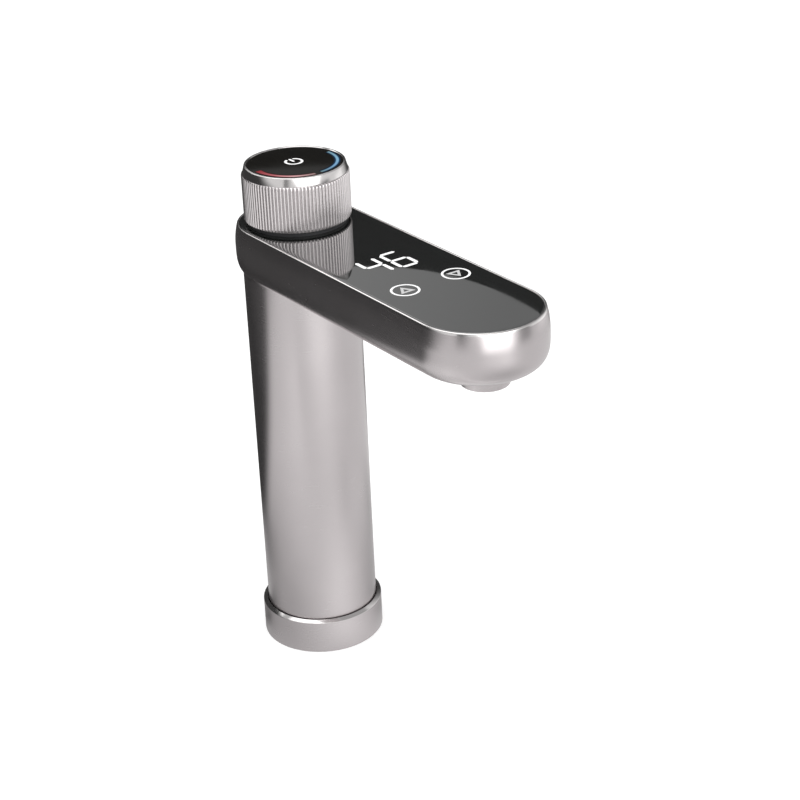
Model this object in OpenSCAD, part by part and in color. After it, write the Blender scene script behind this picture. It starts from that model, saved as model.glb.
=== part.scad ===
// Water filter faucet with a swivelling column, a glass display panel and a knurled dial.
// Millimetres, +Z up. The origin is on the worktop, on the column's axis, and +X runs along the spout.

/* [Worktop and fixing] */
// Thickness of the worktop that the faucet is clamped to
worktop_t = 30; // [8:1:36]
// Diameter of the threaded shank
shank_d = 32; // [30:0.5:34]
// Length of the shank below the worktop's top face
shank_len = 55; // [53:1:80]
// Length of the plain lead-in that the lock nut starts over
lead_in = 6; // [4:0.5:8]
// Width of the lock nut across its flats
nut_flats = 46; // [42:1:50]
// Diameter of the rubber and steel washers under the worktop
washer_d = 54; // [50:1:60]
// Diameter of the control cable that enters through the shank's plug
cable_d = 5; // [4:0.1:5.2]

/* [Base ring] */
// Diameter of the base ring
ring_d = 51.5; // [50.5:0.1:56]
// Height of the base ring's straight side
ring_h = 14.4; // [12:0.2:20]
// Height of the polished bevel on the base ring
ring_bevel_h = 1; // [0.6:0.1:1.8]
// Thickness of the web that the shank clamps
ring_web_t = 3.5; // [2.5:0.1:5]
// Thickness of the gasket that seals the ring to the worktop
gasket_t = 2.5; // [1.5:0.1:3]

/* [Column] */
// Diameter of the column
column_d = 47; // [46:0.1:47.6]
// Wall of the column tube
column_wall = 1.5; // [1.2:0.1:2]
// Diameter of the hub that the column turns on
hub_d = 34; // [33.4:0.1:34.4]
// Height of the foot bush inside the column
foot_h = 17.7; // [16:0.1:24]
// Swivel of the column to each side
swivel_angle = 70; // [30:1:120]

/* [Spout] */
// Height of the glass panel above the worktop
panel_h = 189; // [170:1:240]
// Distance from the column's axis to the centre of the spout's round tip
spout_reach = 118.3; // [114:0.1:150]
// Width of the spout along its top rim
rim_width = 49.2; // [48.6:0.1:50.4]
// Width of the spout at its belly
belly_width = 51.7; // [51:0.1:53]
// Depth of the belly below the rim
belly_depth = 8.6; // [7.6:0.1:10]
// Depth of the hull below the belly
hull_depth = 15; // [14.4:0.1:20]
// How square the hull's bilge is, where 2 is an ellipse
bilge_power = 4; // [3.6:0.1:5]
// Wall of the spout shell
shell_wall = 2; // [1.6:0.1:2.2]
// Width of the bright rim round the glass
rim_w = 0.95; // [0.7:0.05:1.3]
// Bevel along the outer edge of the rim
rim_bevel = 0.5; // [0.2:0.05:0.6]
// Thickness of the glass panel
glass_t = 3; // [2:0.1:3.2]

/* [Outlet] */
// Distance of the outlet beyond the centre of the spout's tip
outlet_offset = 3.1; // [0:0.1:6]
// Diameter of the outlet nozzle
outlet_d = 18.6; // [18.2:0.1:20]
// Drop of the nozzle below the spout
outlet_drop = 5.1; // [4.4:0.1:7]
// Diameter of the water pipe inside the spout
pipe_d = 9; // [8:0.1:9.4]
// Diameter of the riser tube inside the column
riser_d = 10; // [9:0.1:10.4]
// Wall of the pipes
pipe_wall = 1; // [0.7:0.1:1.5]
// Diameter of each hole in the aerator's honeycomb
cell_d = 1.5; // [1:0.1:1.6]

/* [Dial] */
// Diameter of the dial over its ribs
dial_d = 43.3; // [43:0.1:45]
// Number of ribs round the dial
dial_ribs = 92; // [60:1:100]
// Depth of the grooves between the ribs
rib_depth = 0.45; // [0.3:0.05:0.6]
// Height of the ribbed sleeve
sleeve_h = 19.1; // [18.6:0.1:26]
// Gap between the glass panel and the dial
dial_gap = 1.6; // [1.2:0.1:2.4]
// Height of the polished bezel above the ribs
bezel_h = 3.4; // [3:0.1:4.4]
// Diameter of the bezel's top edge
bezel_top_d = 40.5; // [40.1:0.1:41.5]
// Diameter of the glass push button
button_d = 38; // [36.8:0.1:38.1]
// Thickness of the glass push button
button_t = 1.5; // [1:0.1:1.8]
// Travel of the push button
button_travel = 0.8; // [0.4:0.1:1]
// Turn of the dial to each side
dial_angle = 90; // [45:1:100]

/* [Electronics] */
// Length of the control board
board_l = 84; // [78:1:88]
// Width of the control board
board_w = 36; // [35:0.5:40]
// Thickness of the control board
board_t = 1.6; // [1:0.1:2]
// Distance of the display's centre from the column's axis
display_x = 62.3; // [56:0.1:68]
// Distance of the two touch keys from the column's axis
key_x = 87.8; // [84:0.1:92]
// Distance of each touch key from their common centre
key_y = 11.8; // [9:0.1:12]

/* [Fits] */
// Radial clearance of the turning fits
running = 0.06; // [0.02:0.01:0.1]
// Radial clearance of the push button's stem
sliding = 0.1; // [0.06:0.01:0.2]
// Open gap between pieces that move past each other
gap = 0.35; // [0.3:0.01:0.45]

/* [Hidden] */
$fn = 96;

// Base and shank
ring_r = ring_d / 2;
shank_r = shank_d / 2;
bore_wall = 3.5;
shank_bore_r = shank_r - bore_wall;
thread_depth = 0.92;
lead_in_r = shank_r - thread_depth;
shoulder_w = 1.6;
spigot_r = shank_r - shoulder_w;
spigot_h = 10;
web_z = gasket_t;
seat_z = web_z + ring_web_t;
washer_t = 0.9;
foot_z = seat_z + washer_t + 0.1;
rubber_t = 3;
steel_t = 2;
nut_h = 8;
skirt_w = 3.2;
plug_h = 6;
plug_flange_t = 2;
plug_flange_w = 2;

// Column and hub
column_r = column_d / 2;
tube_bore_r = column_r - column_wall;
socket_r = column_r + gap;
hub_r = hub_d / 2;
foot_top_z = foot_z + foot_h;
hub_clip_t = 1;
hub_clip_z = foot_top_z + 0.3;
hub_web_z = hub_clip_z + hub_clip_t + 4;
hub_web_t = 4.6;
hub_top_z = hub_web_z + hub_web_t;
groove_depth = 1.55;
stop_pin_r = 1.5;
stop_pin_h = 3.5;
stop_r = (hub_r + running + tube_bore_r) / 2;
ring_groove_half = 1.1;
hub_groove_depth = 1.1;
riser_r = riser_d / 2;
riser_bore_r = riser_r - pipe_wall;
riser_stub = 9;
riser_bottom_z = -shank_len - plug_flange_t - riser_stub;
cable_x = (riser_r + shank_bore_r) / 2;
cable_hole_r = cable_d / 2 + 0.1;
nipple_thread_r = 8.33;
nipple_thread_l = 12;
nipple_flats = 19;
nipple_hex_h = 6;
// Heights of the two friction rings on the hub
ring_places = [foot_z + foot_h * 0.4, foot_z + foot_h * 0.75];

// Spout section, as half widths and depths below the rim
rim_r = rim_width / 2;
belly_r = belly_width / 2;
section_depth = belly_depth + hull_depth;
under_z = panel_h - section_depth;
floor_z = under_z + shell_wall;
section_steps = 24;
blend_angle = 36;
glass_r = rim_r - rim_w - 0.1;
seal_t = 0.4;
recess_z = panel_h - glass_t - seal_t;
glass_z = panel_h - glass_t;
ledge_t = 2;
ledge_r = glass_r - 1.8;

// A point of the superellipse below the belly, and its outward normal, at an angle from the belly
function hull_scale(a) = pow(pow(cos(a), bilge_power) + pow(sin(a), bilge_power), -1 / bilge_power);
function hull_point(a, t) = [
    (belly_r - t) * cos(a) * hull_scale(a),
    -belly_depth - (hull_depth - t) * sin(a) * hull_scale(a)
];
function hull_slope(a) = [
    pow(cos(a), bilge_power - 1) / belly_r,
    -pow(sin(a), bilge_power - 1) / hull_depth
];
function hull_normal(a) = hull_slope(a) / norm(hull_slope(a));
function topside_r(d, t) = belly_r - t - (belly_r - rim_r) * pow(1 - d / belly_depth, 2);
function topside(d0, t) = [
    for (i = [0 : 5]) let (d = d0 + (belly_depth - d0) * i / 6) [topside_r(d, t), -d]
];
function hull_side(t) = [
    for (i = [0 : section_steps]) hull_point(90 * i / section_steps, t)
];
// Half section from depth d0 down to the keel, drawn in by t
function half_section(d0, t) = concat([[0, -d0]], topside(d0, t), hull_side(t));
// The same with the rim's outer edge bevelled
function outer_section() = concat([[0, 0], [rim_r - rim_bevel, 0]], topside(rim_bevel, 0), hull_side(0));
function mirrored(points) = [
    for (i = [len(points) - 1 : -1 : 0]) if (points[i][0] > 0) [-points[i][0], points[i][1]]
];

// The fillet between hull and column touches both of them
blend_point = hull_point(blend_angle, 0);
blend_normal = hull_normal(blend_angle);
blend_r = (blend_point[0] - column_r) / (1 - blend_normal[0]);
blend_centre = blend_point + blend_r * blend_normal;
blend_turn = acos(blend_normal[0]);
neck_land = 1;
neck_z = panel_h - max(section_depth, -blend_centre[1]) - neck_land;
sleeve_ledge_r = tube_bore_r - 4;
sleeve_bore_r = tube_bore_r - 2.5;
coupling_bottom_z = neck_z - 12;
coupling_ledge_z = neck_z - 6;
coupling_top_z = floor_z + 0.6;

// Water way
manifold_r = riser_r + 4.5;
flange_t = 3;
pipe_r = pipe_d / 2;
pipe_z = floor_z + pipe_r + 1.2;
riser_top_z = pipe_z - pipe_r - 2;
seal_wire_r = 0.75;
seal_groove_r = riser_r + 2 * seal_wire_r + 0.1;
// Heights of the two seals round the riser's top
seal_places = [riser_top_z - 4, riser_top_z - 8];
socket_start = manifold_r + 2;
socket_l = 5;
socket_wall = 2;
manifold_floor_z = coupling_bottom_z + 2;
outlet_x = spout_reach + outlet_offset;
outlet_r = outlet_d / 2;
outlet_z = under_z - outlet_drop;
nozzle_bore_r = outlet_r - 1.3;
nozzle_fillet_r = 2;
aerator_recess = 0.4;
elbow_r = outlet_r + 0.5;
elbow_socket = elbow_r - 4;
elbow_groove_r = elbow_r - 2;
elbow_ring_r = 0.4;
elbow_top_z = pipe_z + pipe_r + 0.6;
seat_washer_t = 1;
housing_top_z = floor_z - seat_washer_t;
insert_r = nozzle_bore_r - 1.3;
cell_pitch = cell_d + 0.45;

// Electronics
board_z = pipe_z + pipe_r + 2.2;
board_top_z = board_z + board_t;
board_x0 = 26;
screw_inset = [7, 4.5];
screw_places = [
    for (x = [board_x0 + screw_inset[0], board_x0 + board_l - screw_inset[0]],
         y = [-board_w / 2 + screw_inset[1], board_w / 2 - screw_inset[1]]) [x, y]
];
screw_r = 1.25;
screw_l = 5;
boss_r = 3;
connector_size = [8, 7, 5];
connector_x = board_x0 + screw_inset[0] + 8;
connector_y = -board_w / 2 + 4;
display_size = [24, 25];
key_shift_y = 1.2;
pad_r = 4.4;
pad_wall = 2.2;
key_places = [[key_x, key_shift_y + key_y], [key_x, key_shift_y - key_y]];

// Dial post and what it carries
collar_h = dial_gap - 0.4;
collar_r = dial_d / 2 - 1.45;
post_thread_r = collar_r - 2.7;
post_bottom_z = glass_z - 3.6;
post_nut_h = 3;
journal_r = collar_r - 7.7;
post_bore_r = journal_r - 2.9;
wire_bore_r = post_bore_r - 1.6;
dial_z = panel_h + dial_gap;
sleeve_top_z = dial_z + sleeve_h;
collar_top_z = panel_h + collar_h;
dial_board_t = 1.6;
dial_board_z = collar_top_z + 4.8;
dial_board_top_z = dial_board_z + dial_board_t;
bush_t = 1.4;
bush_r = journal_r + bush_t;
carrier_bore_r = bush_r + running;
carrier_z = collar_top_z + 0.8;
carrier_top_z = sleeve_top_z - 3.5;
clip_t = 1;
clip_z = carrier_top_z + 0.2;
post_top_z = clip_z + clip_t + 0.6;
sleeve_wall = 2.25;
// Heights along one rib from groove to groove: the crest is round and the groove is narrow
rib_profile = [0, 0.62, 0.97, 0.97, 0.62];
rib_bevel = 0.7;
sleeve_bore_dial_r = dial_d / 2 - sleeve_wall;
hub_wall = 1.85;
carrier_hub_r = carrier_bore_r + hub_wall;
carrier_web_t = 4;
magnet_h = 5;
lug_z = collar_top_z + 2.3;
lug_h = 3;
lug_half = 44;
post_lug_half = 180 - dial_angle - lug_half - 1;

// Push button
button_r = button_d / 2;
bezel_bore_r = button_r + gap;
bezel_top_z = sleeve_top_z + bezel_h;
button_sink = 0.5;
button_top_z = bezel_top_z - button_sink;
button_z = button_top_z - button_t;
core_t = 1.8;
core_z = button_z - core_t;
core_r = button_r - 0.9;
stem_r = post_bore_r - sliding;
stem_wall = 2.3;
stem_z = dial_board_top_z + button_travel + 0.7;
cup_top_z = core_z - 1.8;
rib_w = 2.4;
rib_h = 2;
rib_z = stem_z + 1.6;
rib_r = stem_r + 1.5;
slot_r = rib_r + gap;
plunger_top_z = dial_board_top_z + 2.8;
spring_r = stem_r - stem_wall - 1.3;
spring_wire_r = 0.4;
spring_turns = 5;

// A round bar and a round tube between two heights
module rod(r, z0, z1) {
    translate([0, 0, z0]) cylinder(r = r, h = z1 - z0);
}

module tube(outer, inner, z0, z1) {
    difference() {
        rod(outer, z0, z1);
        rod(inner, z0 - 1, z1 + 1);
    }
}

// Carries a half section round the rear of the spout, along it and round its tip
module along_spout(section) {
    rotate([0, 0, 90]) rotate_extrude(angle = 180) polygon(section);
    rotate([90, 0, 90]) linear_extrude(spout_reach) polygon(concat(section, mirrored(section)));
    translate([spout_reach, 0, 0])
        rotate([0, 0, -90]) rotate_extrude(angle = 180) polygon(section);
}

// A flat slab with the spout's plan
module slab(half_width, z0, z1) {
    along_spout([[0, z0], [half_width, z0], [half_width, z1], [0, z1]]);
}

// An arc-shaped block centred on an angle
module arc_block(inner, outer, z0, z1, middle, half) {
    rotate([0, 0, middle - half]) rotate_extrude(angle = 2 * half)
        polygon([[inner, z0], [outer, z0], [outer, z1], [inner, z1]]);
}

module oring(centre_r, wire_r, z) {
    translate([0, 0, z]) rotate_extrude() translate([centre_r, 0]) circle(r = wire_r, $fn = 24);
}

// A ring with a gap in it, as a circlip has
module split_ring(inner, outer, z0, z1) {
    arc_block(inner, outer, z0, z1, 0, 165);
}

module base_ring() {
    color("#b4aeab") difference() {
        rotate_extrude() polygon([
            [spigot_r, web_z], [ring_r - skirt_w, web_z], [ring_r - skirt_w, 0],
            [ring_r - 0.4, 0], [ring_r, 0.4], [ring_r, ring_h],
            [socket_r + 0.2, ring_h + ring_bevel_h], [socket_r, ring_h + ring_bevel_h - 0.2],
            [socket_r, seat_z], [spigot_r, seat_z]
        ]);
        translate([-stop_r, 0, 0]) rod(stop_pin_r, web_z - 1, seat_z + 1);
    }
}

module deck_gasket() {
    color("#2a2a2a") tube(ring_r - skirt_w, shank_r, 0, gasket_t);
}

module threaded_shank() {
    color("#b89b5e") difference() {
        union() {
            rod(lead_in_r, -shank_len, -shank_len + lead_in);
            rod(shank_r, -shank_len + lead_in, web_z);
            rod(spigot_r, web_z, seat_z + spigot_h);
        }
        rod(shank_bore_r, -shank_len - 1, seat_z + spigot_h + 1);
    }
}

module rubber_washer() {
    color("#262626") tube(washer_d / 2, shank_r, -worktop_t - rubber_t, -worktop_t);
}

module steel_washer() {
    color("#a9abac")
        tube(washer_d / 2, shank_r, -worktop_t - rubber_t - steel_t, -worktop_t - rubber_t);
}

module lock_nut() {
    top = -worktop_t - rubber_t - steel_t;
    corner_r = nut_flats / 2 / cos(30);
    color("#b89b5e") difference() {
        intersection() {
            translate([0, 0, top - nut_h]) cylinder(r = corner_r, h = nut_h, $fn = 6);
            rotate_extrude() polygon([
                [0, top - nut_h], [corner_r - 1.6, top - nut_h], [corner_r, top - nut_h + 1],
                [corner_r, top - 1], [corner_r - 1.6, top], [0, top]
            ]);
        }
        rod(shank_r, top - nut_h - 1, top + 1);
    }
}

module shank_plug() {
    color("#303030") difference() {
        union() {
            rod(shank_bore_r, -shank_len - plug_flange_t, -shank_len + plug_h);
            rod(shank_bore_r + plug_flange_w, -shank_len - plug_flange_t, -shank_len);
        }
        rod(riser_r, -shank_len - plug_flange_t - 1, -shank_len + plug_h + 1);
        translate([cable_x, 0, 0])
            rod(cable_hole_r, -shank_len - plug_flange_t - 1, -shank_len + plug_h + 1);
    }
}

module riser_tube() {
    color("#b8b8b8") tube(riser_r, riser_bore_r, riser_bottom_z, riser_top_z);
}

// A union with a hexagon and a G3/8 thread
module inlet_nipple() {
    corner_r = nipple_flats / 2 / cos(30);
    color("#b89b5e") difference() {
        union() {
            translate([0, 0, riser_bottom_z]) cylinder(r = corner_r, h = nipple_hex_h, $fn = 6);
            rod(nipple_thread_r, riser_bottom_z - nipple_thread_l, riser_bottom_z);
        }
        rod(riser_bore_r, riser_bottom_z - nipple_thread_l - 1, riser_bottom_z + 1);
        rod(riser_r, riser_bottom_z, riser_bottom_z + nipple_hex_h + 1);
    }
}

module swivel_hub() {
    color("#c2a566") difference() {
        rod(hub_r, seat_z, hub_top_z);
        rod(spigot_r, seat_z - 1, seat_z + spigot_h);
        rod(shank_bore_r, seat_z, hub_web_z);
        rod(riser_r, hub_web_z - 1, hub_top_z + 1);
        for (z = ring_places)
            tube(hub_r + 1, hub_r - groove_depth, z - ring_groove_half, z + ring_groove_half);
        tube(hub_r + 1, hub_r - hub_groove_depth, hub_clip_z, hub_clip_z + hub_clip_t);
        for (a = [60 : 120 : 300])
            rotate([0, 0, a]) translate([cable_x, 0, 0])
                rod(cable_hole_r, hub_web_z - 1, hub_top_z + 1);
    }
}

module thrust_washer() {
    color("#e8e6de") difference() {
        tube(tube_bore_r + 0.6, hub_r, seat_z, seat_z + washer_t);
        translate([-stop_r, 0, 0]) rod(stop_pin_r, seat_z - 1, seat_z + washer_t + 1);
    }
}

module swivel_orings() {
    wire_r = groove_depth / 2 - 0.02;
    color("#1c1c1c") for (z = ring_places) oring(hub_r - groove_depth + wire_r, wire_r, z);
}

module hub_circlip() {
    color("#7d7f80") split_ring(hub_r - hub_groove_depth, hub_r + 1.9, hub_clip_z, hub_clip_z + hub_clip_t);
}

module stop_pin() {
    color("#8f9193") translate([-stop_r, 0, 0]) rod(stop_pin_r, web_z, foot_z + stop_pin_h);
}

module column_tube() {
    color("#b9b2b1") tube(column_r, tube_bore_r, foot_z, neck_z);
}

// The bush that turns on the hub, with the arc slot that the stop pin rides in
module column_foot() {
    slot_half = swivel_angle + asin((stop_pin_r + 0.05) / stop_r);
    color("#dcdad2") difference() {
        tube(tube_bore_r, hub_r + running, foot_z, foot_top_z);
        arc_block(stop_r - stop_pin_r - 0.2, stop_r + stop_pin_r + 0.2,
                  foot_z - 1, foot_z + stop_pin_h + 0.5, 180, slot_half);
    }
}

module coupling_sleeve() {
    color("#c2a566") difference() {
        rod(tube_bore_r, coupling_bottom_z, coupling_top_z);
        rod(sleeve_ledge_r, coupling_bottom_z - 1, coupling_top_z + 1);
        rod(sleeve_bore_r, coupling_ledge_z, coupling_top_z + 1);
    }
}

// The collar of the shell that runs down into the column with a fillet
module neck() {
    arc = [for (i = [0 : 8]) let (a = blend_turn * i / 8)
        [blend_centre[0] - blend_r * cos(a), panel_h + blend_centre[1] + blend_r * sin(a)]];
    rotate_extrude() polygon(concat(
        [[0, neck_z], [column_r, neck_z]], arc,
        [[blend_point[0] - 1, panel_h + blend_point[1]], [0, panel_h + blend_point[1]]]
    ));
}

module nozzle_boss() {
    arc = [for (i = [0 : 6]) let (a = 90 * i / 6)
        [outlet_r + nozzle_fillet_r * (1 - cos(a)), under_z + 0.3 - nozzle_fillet_r * (1 - sin(a))]];
    translate([outlet_x, 0, 0]) rotate_extrude() polygon(concat(
        [[0, outlet_z], [outlet_r - 0.4, outlet_z], [outlet_r, outlet_z + 0.4]], arc,
        [[outlet_r + nozzle_fillet_r, under_z + 1], [0, under_z + 1]]
    ));
}

module spout_shell() {
    color("#b3adab") difference() {
        union() {
            difference() {
                union() {
                    translate([0, 0, panel_h]) along_spout(outer_section());
                    neck();
                    nozzle_boss();
                }
                translate([0, 0, panel_h])
                    along_spout(half_section(panel_h - recess_z + ledge_t, shell_wall));
                slab(ledge_r, recess_z - ledge_t - 1, recess_z + 1);
                slab(glass_r + 0.1, recess_z, panel_h + 1);
            }
            for (p = screw_places) translate([p[0], p[1], 0]) rod(boss_r, under_z + 1, board_z);
        }
        rod(tube_bore_r, neck_z - 1, floor_z + 4);
        translate([outlet_x, 0, 0]) rod(nozzle_bore_r, outlet_z - 1, floor_z + 1);
        translate([outlet_x, 0, 0]) rod(elbow_r + gap, floor_z, floor_z + 3);
        for (p = screw_places) translate([p[0], p[1], 0]) rod(screw_r, board_z - screw_l - 1, board_z + 1);
    }
}

// Turns the water from the riser into the spout's pipe
module water_manifold() {
    color("#d8d5cc") difference() {
        union() {
            rod(manifold_r, manifold_floor_z, pipe_z + pipe_r + 1.4);
            rod(sleeve_bore_r, coupling_ledge_z, coupling_ledge_z + flange_t);
            translate([0, 0, pipe_z]) rotate([0, 90, 0]) rod(pipe_r + socket_wall, 0, socket_start + socket_l);
        }
        rod(riser_r + running, manifold_floor_z - 1, riser_top_z + 0.5);
        for (z = seal_places) rod(seal_groove_r, z - 1, z + 1);
        rod(riser_bore_r, riser_top_z, pipe_z);
        translate([0, 0, pipe_z]) rotate([0, 90, 0]) rod(pipe_r - pipe_wall, 0, socket_start + 1);
        translate([0, 0, pipe_z]) rotate([0, 90, 0]) rod(pipe_r, socket_start, socket_start + socket_l + 1);
        for (a = [90, 180, 270])
            rotate([0, 0, a]) translate([(manifold_r + sleeve_ledge_r) / 2 + 0.5, 0, 0])
                rod(cable_hole_r, coupling_ledge_z - 1, coupling_ledge_z + flange_t + 1);
        sensor_bar(0, 0);
    }
}

module riser_orings() {
    color("#1c1c1c") for (z = seal_places) oring(seal_groove_r - seal_wire_r, seal_wire_r, z);
}

// A probe in the manifold's side, level with the pipe
module sensor_bar(tail, proud) {
    reach = manifold_r + tail;
    translate([0, 0, pipe_z]) rotate([90, 0, 0]) {
        rod(1.6, pipe_r - pipe_wall, reach);
        if (proud > 0) rod(3, manifold_r, manifold_r + proud);
    }
}

module temperature_sensor() {
    color("#9a9c9e") sensor_bar(6, 3);
}

module outlet_pipe() {
    color("#b8b8b8") translate([0, 0, pipe_z]) rotate([0, 90, 0])
        tube(pipe_r, pipe_r - pipe_wall, socket_start, outlet_x - elbow_socket);
}

module outlet_elbow() {
    color("#d8d5cc") difference() {
        union() {
            translate([outlet_x, 0, 0]) rod(elbow_r, floor_z, elbow_top_z);
            translate([outlet_x, 0, pipe_z]) rotate([0, -90, 0]) rod(pipe_r + 0.5, 0, elbow_r + 3);
        }
        translate([outlet_x, 0, 0]) rod(insert_r - 1, floor_z - 1, pipe_z);
        translate([outlet_x, 0, 0]) tube(elbow_r - 1, elbow_groove_r, floor_z - 1, floor_z + 2 * elbow_ring_r);
        translate([outlet_x, 0, pipe_z]) rotate([0, -90, 0])
            rod(pipe_r - pipe_wall, 0, elbow_r + 4);
        translate([outlet_x, 0, pipe_z]) rotate([0, -90, 0])
            rod(pipe_r, elbow_socket, elbow_r + 4);
    }
}

module elbow_oring() {
    color("#1c1c1c") translate([outlet_x, 0, 0]) oring(elbow_r - 1.5, elbow_ring_r, floor_z + elbow_ring_r);
}

module aerator_housing() {
    color("#a8a5a2") translate([outlet_x, 0, 0]) difference() {
        rod(nozzle_bore_r, outlet_z + aerator_recess, housing_top_z);
        rod(insert_r, outlet_z + aerator_recess + 0.8, housing_top_z + 1);
        rod(insert_r - 0.6, outlet_z, housing_top_z);
        for (a = [0, 90]) rotate([0, 0, a])
            translate([-nozzle_bore_r - 1, -1, outlet_z])
                cube([2 * nozzle_bore_r + 2, 2, aerator_recess + 0.6]);
    }
}

// The honeycomb that breaks the water up
module aerator_insert() {
    z0 = outlet_z + aerator_recess + 0.8;
    rows = 3;
    color("#e3e1dc") translate([outlet_x, 0, 0]) difference() {
        rod(insert_r, z0, housing_top_z);
        for (j = [-rows : rows]) for (i = [0 : 2 * rows - abs(j)])
            translate([(i - rows + abs(j) / 2) * cell_pitch, j * cell_pitch * sin(60), 0])
                rod(cell_d / 2, z0 - 1, housing_top_z + 1);
    }
}

module aerator_washer() {
    color("#1c1c1c") translate([outlet_x, 0, 0])
        tube(nozzle_bore_r, insert_r - 1, housing_top_z, floor_z);
}

module glass_panel() {
    color("#141514") difference() {
        slab(glass_r, glass_z, panel_h);
        rod(post_thread_r, glass_z - 1, panel_h + 1);
    }
}

module panel_gasket() {
    color("#202020") difference() {
        slab(glass_r, recess_z, glass_z);
        slab(ledge_r, recess_z - 1, glass_z + 1);
    }
}

module control_board() {
    r = 3;
    color("#1f5a38") difference() {
        union() {
            translate([board_x0, -board_w / 2 + r, board_z])
                cube([board_l, board_w - 2 * r, board_t]);
            translate([board_x0 + r, -board_w / 2, board_z])
                cube([board_l - 2 * r, board_w, board_t]);
        }
        for (p = screw_places) translate([p[0], p[1], 0]) rod(screw_r, board_z - 1, board_top_z + 1);
    }
}

module board_screws() {
    color("#8f9193") for (p = screw_places) translate([p[0], p[1], 0]) {
        rod(screw_r, board_z - screw_l, board_top_z);
        rod(screw_r + 1.05, board_top_z, board_top_z + 1.6);
    }
}

module board_connector() {
    color("#e9e4d2") translate([connector_x, connector_y, board_z - connector_size[2]])
        cube(connector_size);
}

module display_module() {
    color("#ececec")
        translate([display_x - display_size[0] / 2, -display_size[1] / 2, board_top_z])
            cube([display_size[0], display_size[1], glass_z - board_top_z - 0.3]);
}

// Springy pads that join the touch keys to the board
module touch_pads() {
    color("#3a3a3a") for (p = key_places)
        translate([p[0], p[1], 0]) tube(pad_r, pad_r - pad_wall, board_top_z, glass_z);
}

// The fixed post that holds the glass and carries the dial and the button
module dial_post() {
    color("#1b1b1b") difference() {
        union() {
            rod(post_thread_r, post_bottom_z, panel_h);
            rod(collar_r, panel_h, collar_top_z);
            rod(journal_r, collar_top_z, post_top_z);
            arc_block(carrier_hub_r + gap, sleeve_bore_dial_r - gap,
                      collar_top_z - 0.2, lug_z + lug_h, 0, post_lug_half);
        }
        rod(wire_bore_r, post_bottom_z - 1, dial_board_z + 1);
        rod(post_bore_r, dial_board_z, post_top_z + 1);
        translate([-slot_r, -rib_w / 2 - 0.25, rib_z - button_travel - 0.2])
            cube([slot_r, rib_w + 0.5, rib_h + button_travel + 0.4]);
        tube(journal_r + 1, journal_r - 0.5, clip_z, clip_z + clip_t);
    }
}

module post_nut() {
    color("#c2a566") difference() {
        translate([0, 0, glass_z - post_nut_h])
            cylinder(r = post_thread_r + 3.2, h = post_nut_h, $fn = 12);
        rod(post_thread_r, glass_z - post_nut_h - 1, glass_z + 1);
    }
}

module dial_bush() {
    color("#dcdad2") tube(bush_r, journal_r, collar_top_z, carrier_top_z);
}

module dial_circlip() {
    color("#7d7f80") split_ring(journal_r - 0.5, bush_r + 1.4, clip_z, clip_z + clip_t);
}

module dial_board() {
    color("#1f5a38") rod(post_bore_r, dial_board_z, dial_board_top_z);
}

module push_switch() {
    side = 6;
    body_h = 2;
    color("#3b3b3d") {
        translate([-side / 2, -side / 2, dial_board_top_z]) cube([side, side, body_h]);
        rod(1.6, dial_board_top_z + body_h, plunger_top_z);
    }
}

module hall_sensors() {
    color("#2b2b2b") for (a = [0, 90]) rotate([0, 0, a])
        translate([wire_bore_r - 3.4, -1.5, dial_board_z - 1]) cube([2.4, 3, 1]);
}

// Points round the wire at a height part way up the spring
function wire_ring(turn, z) = [
    for (k = [0 : 5]) let (a = 60 * k)
        [(spring_r + spring_wire_r * cos(a)) * cos(turn),
         (spring_r + spring_wire_r * cos(a)) * sin(turn),
         z + spring_wire_r * sin(a)]
];

module return_spring() {
    z0 = dial_board_top_z + spring_wire_r;
    rise = cup_top_z - dial_board_top_z - 2 * spring_wire_r;
    rings = spring_turns * 16;
    points = [for (i = [0 : rings]) let (t = i / rings) each
        wire_ring(360 * spring_turns * t, z0 + rise * t)];
    skin = [for (i = [0 : rings - 1], k = [0 : 5]) each [
        [6 * i + k, 6 * (i + 1) + k, 6 * i + (k + 1) % 6],
        [6 * i + (k + 1) % 6, 6 * (i + 1) + k, 6 * (i + 1) + (k + 1) % 6]]];
    color("#a4a6a8") polyhedron(points, concat(skin, [
        [for (k = [0 : 5]) k], [for (k = [5 : -1 : 0]) 6 * rings + k]]));
}

module dial_sleeve() {
    outline = [for (i = [0 : dial_ribs - 1], k = [0 : 4])
        let (a = 360 * (i + k / 5) / dial_ribs, r = dial_d / 2 - rib_depth * (1 - rib_profile[k]))
            [r * cos(a), r * sin(a)]];
    groove_r = dial_d / 2 - rib_depth;
    color("#bdb7b6") difference() {
        intersection() {
            translate([0, 0, dial_z]) linear_extrude(sleeve_h) polygon(outline);
            rotate_extrude() polygon([
                [0, dial_z - 1], [groove_r - 0.05, dial_z - 1], [groove_r - 0.05, dial_z],
                [dial_d / 2 + 0.1, dial_z + rib_bevel], [dial_d / 2 + 0.1, sleeve_top_z - rib_bevel],
                [groove_r - 0.05, sleeve_top_z], [groove_r - 0.05, sleeve_top_z + 1],
                [0, sleeve_top_z + 1]
            ]);
        }
        rod(sleeve_bore_dial_r, dial_z - 1, sleeve_top_z + 1);
    }
}

module dial_bezel() {
    seat_top_z = sleeve_top_z + 0.2;
    color("#d2cfcd") rotate_extrude() polygon([
        [bezel_bore_r - 0.75, carrier_top_z], [sleeve_bore_dial_r, carrier_top_z],
        [sleeve_bore_dial_r, sleeve_top_z], [dial_d / 2 - rib_depth, sleeve_top_z],
        [bezel_top_d / 2, bezel_top_z - 0.3], [bezel_top_d / 2 - 0.3, bezel_top_z],
        [bezel_bore_r, bezel_top_z], [bezel_bore_r, seat_top_z], [bezel_bore_r - 0.75, seat_top_z]
    ]);
}

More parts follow.
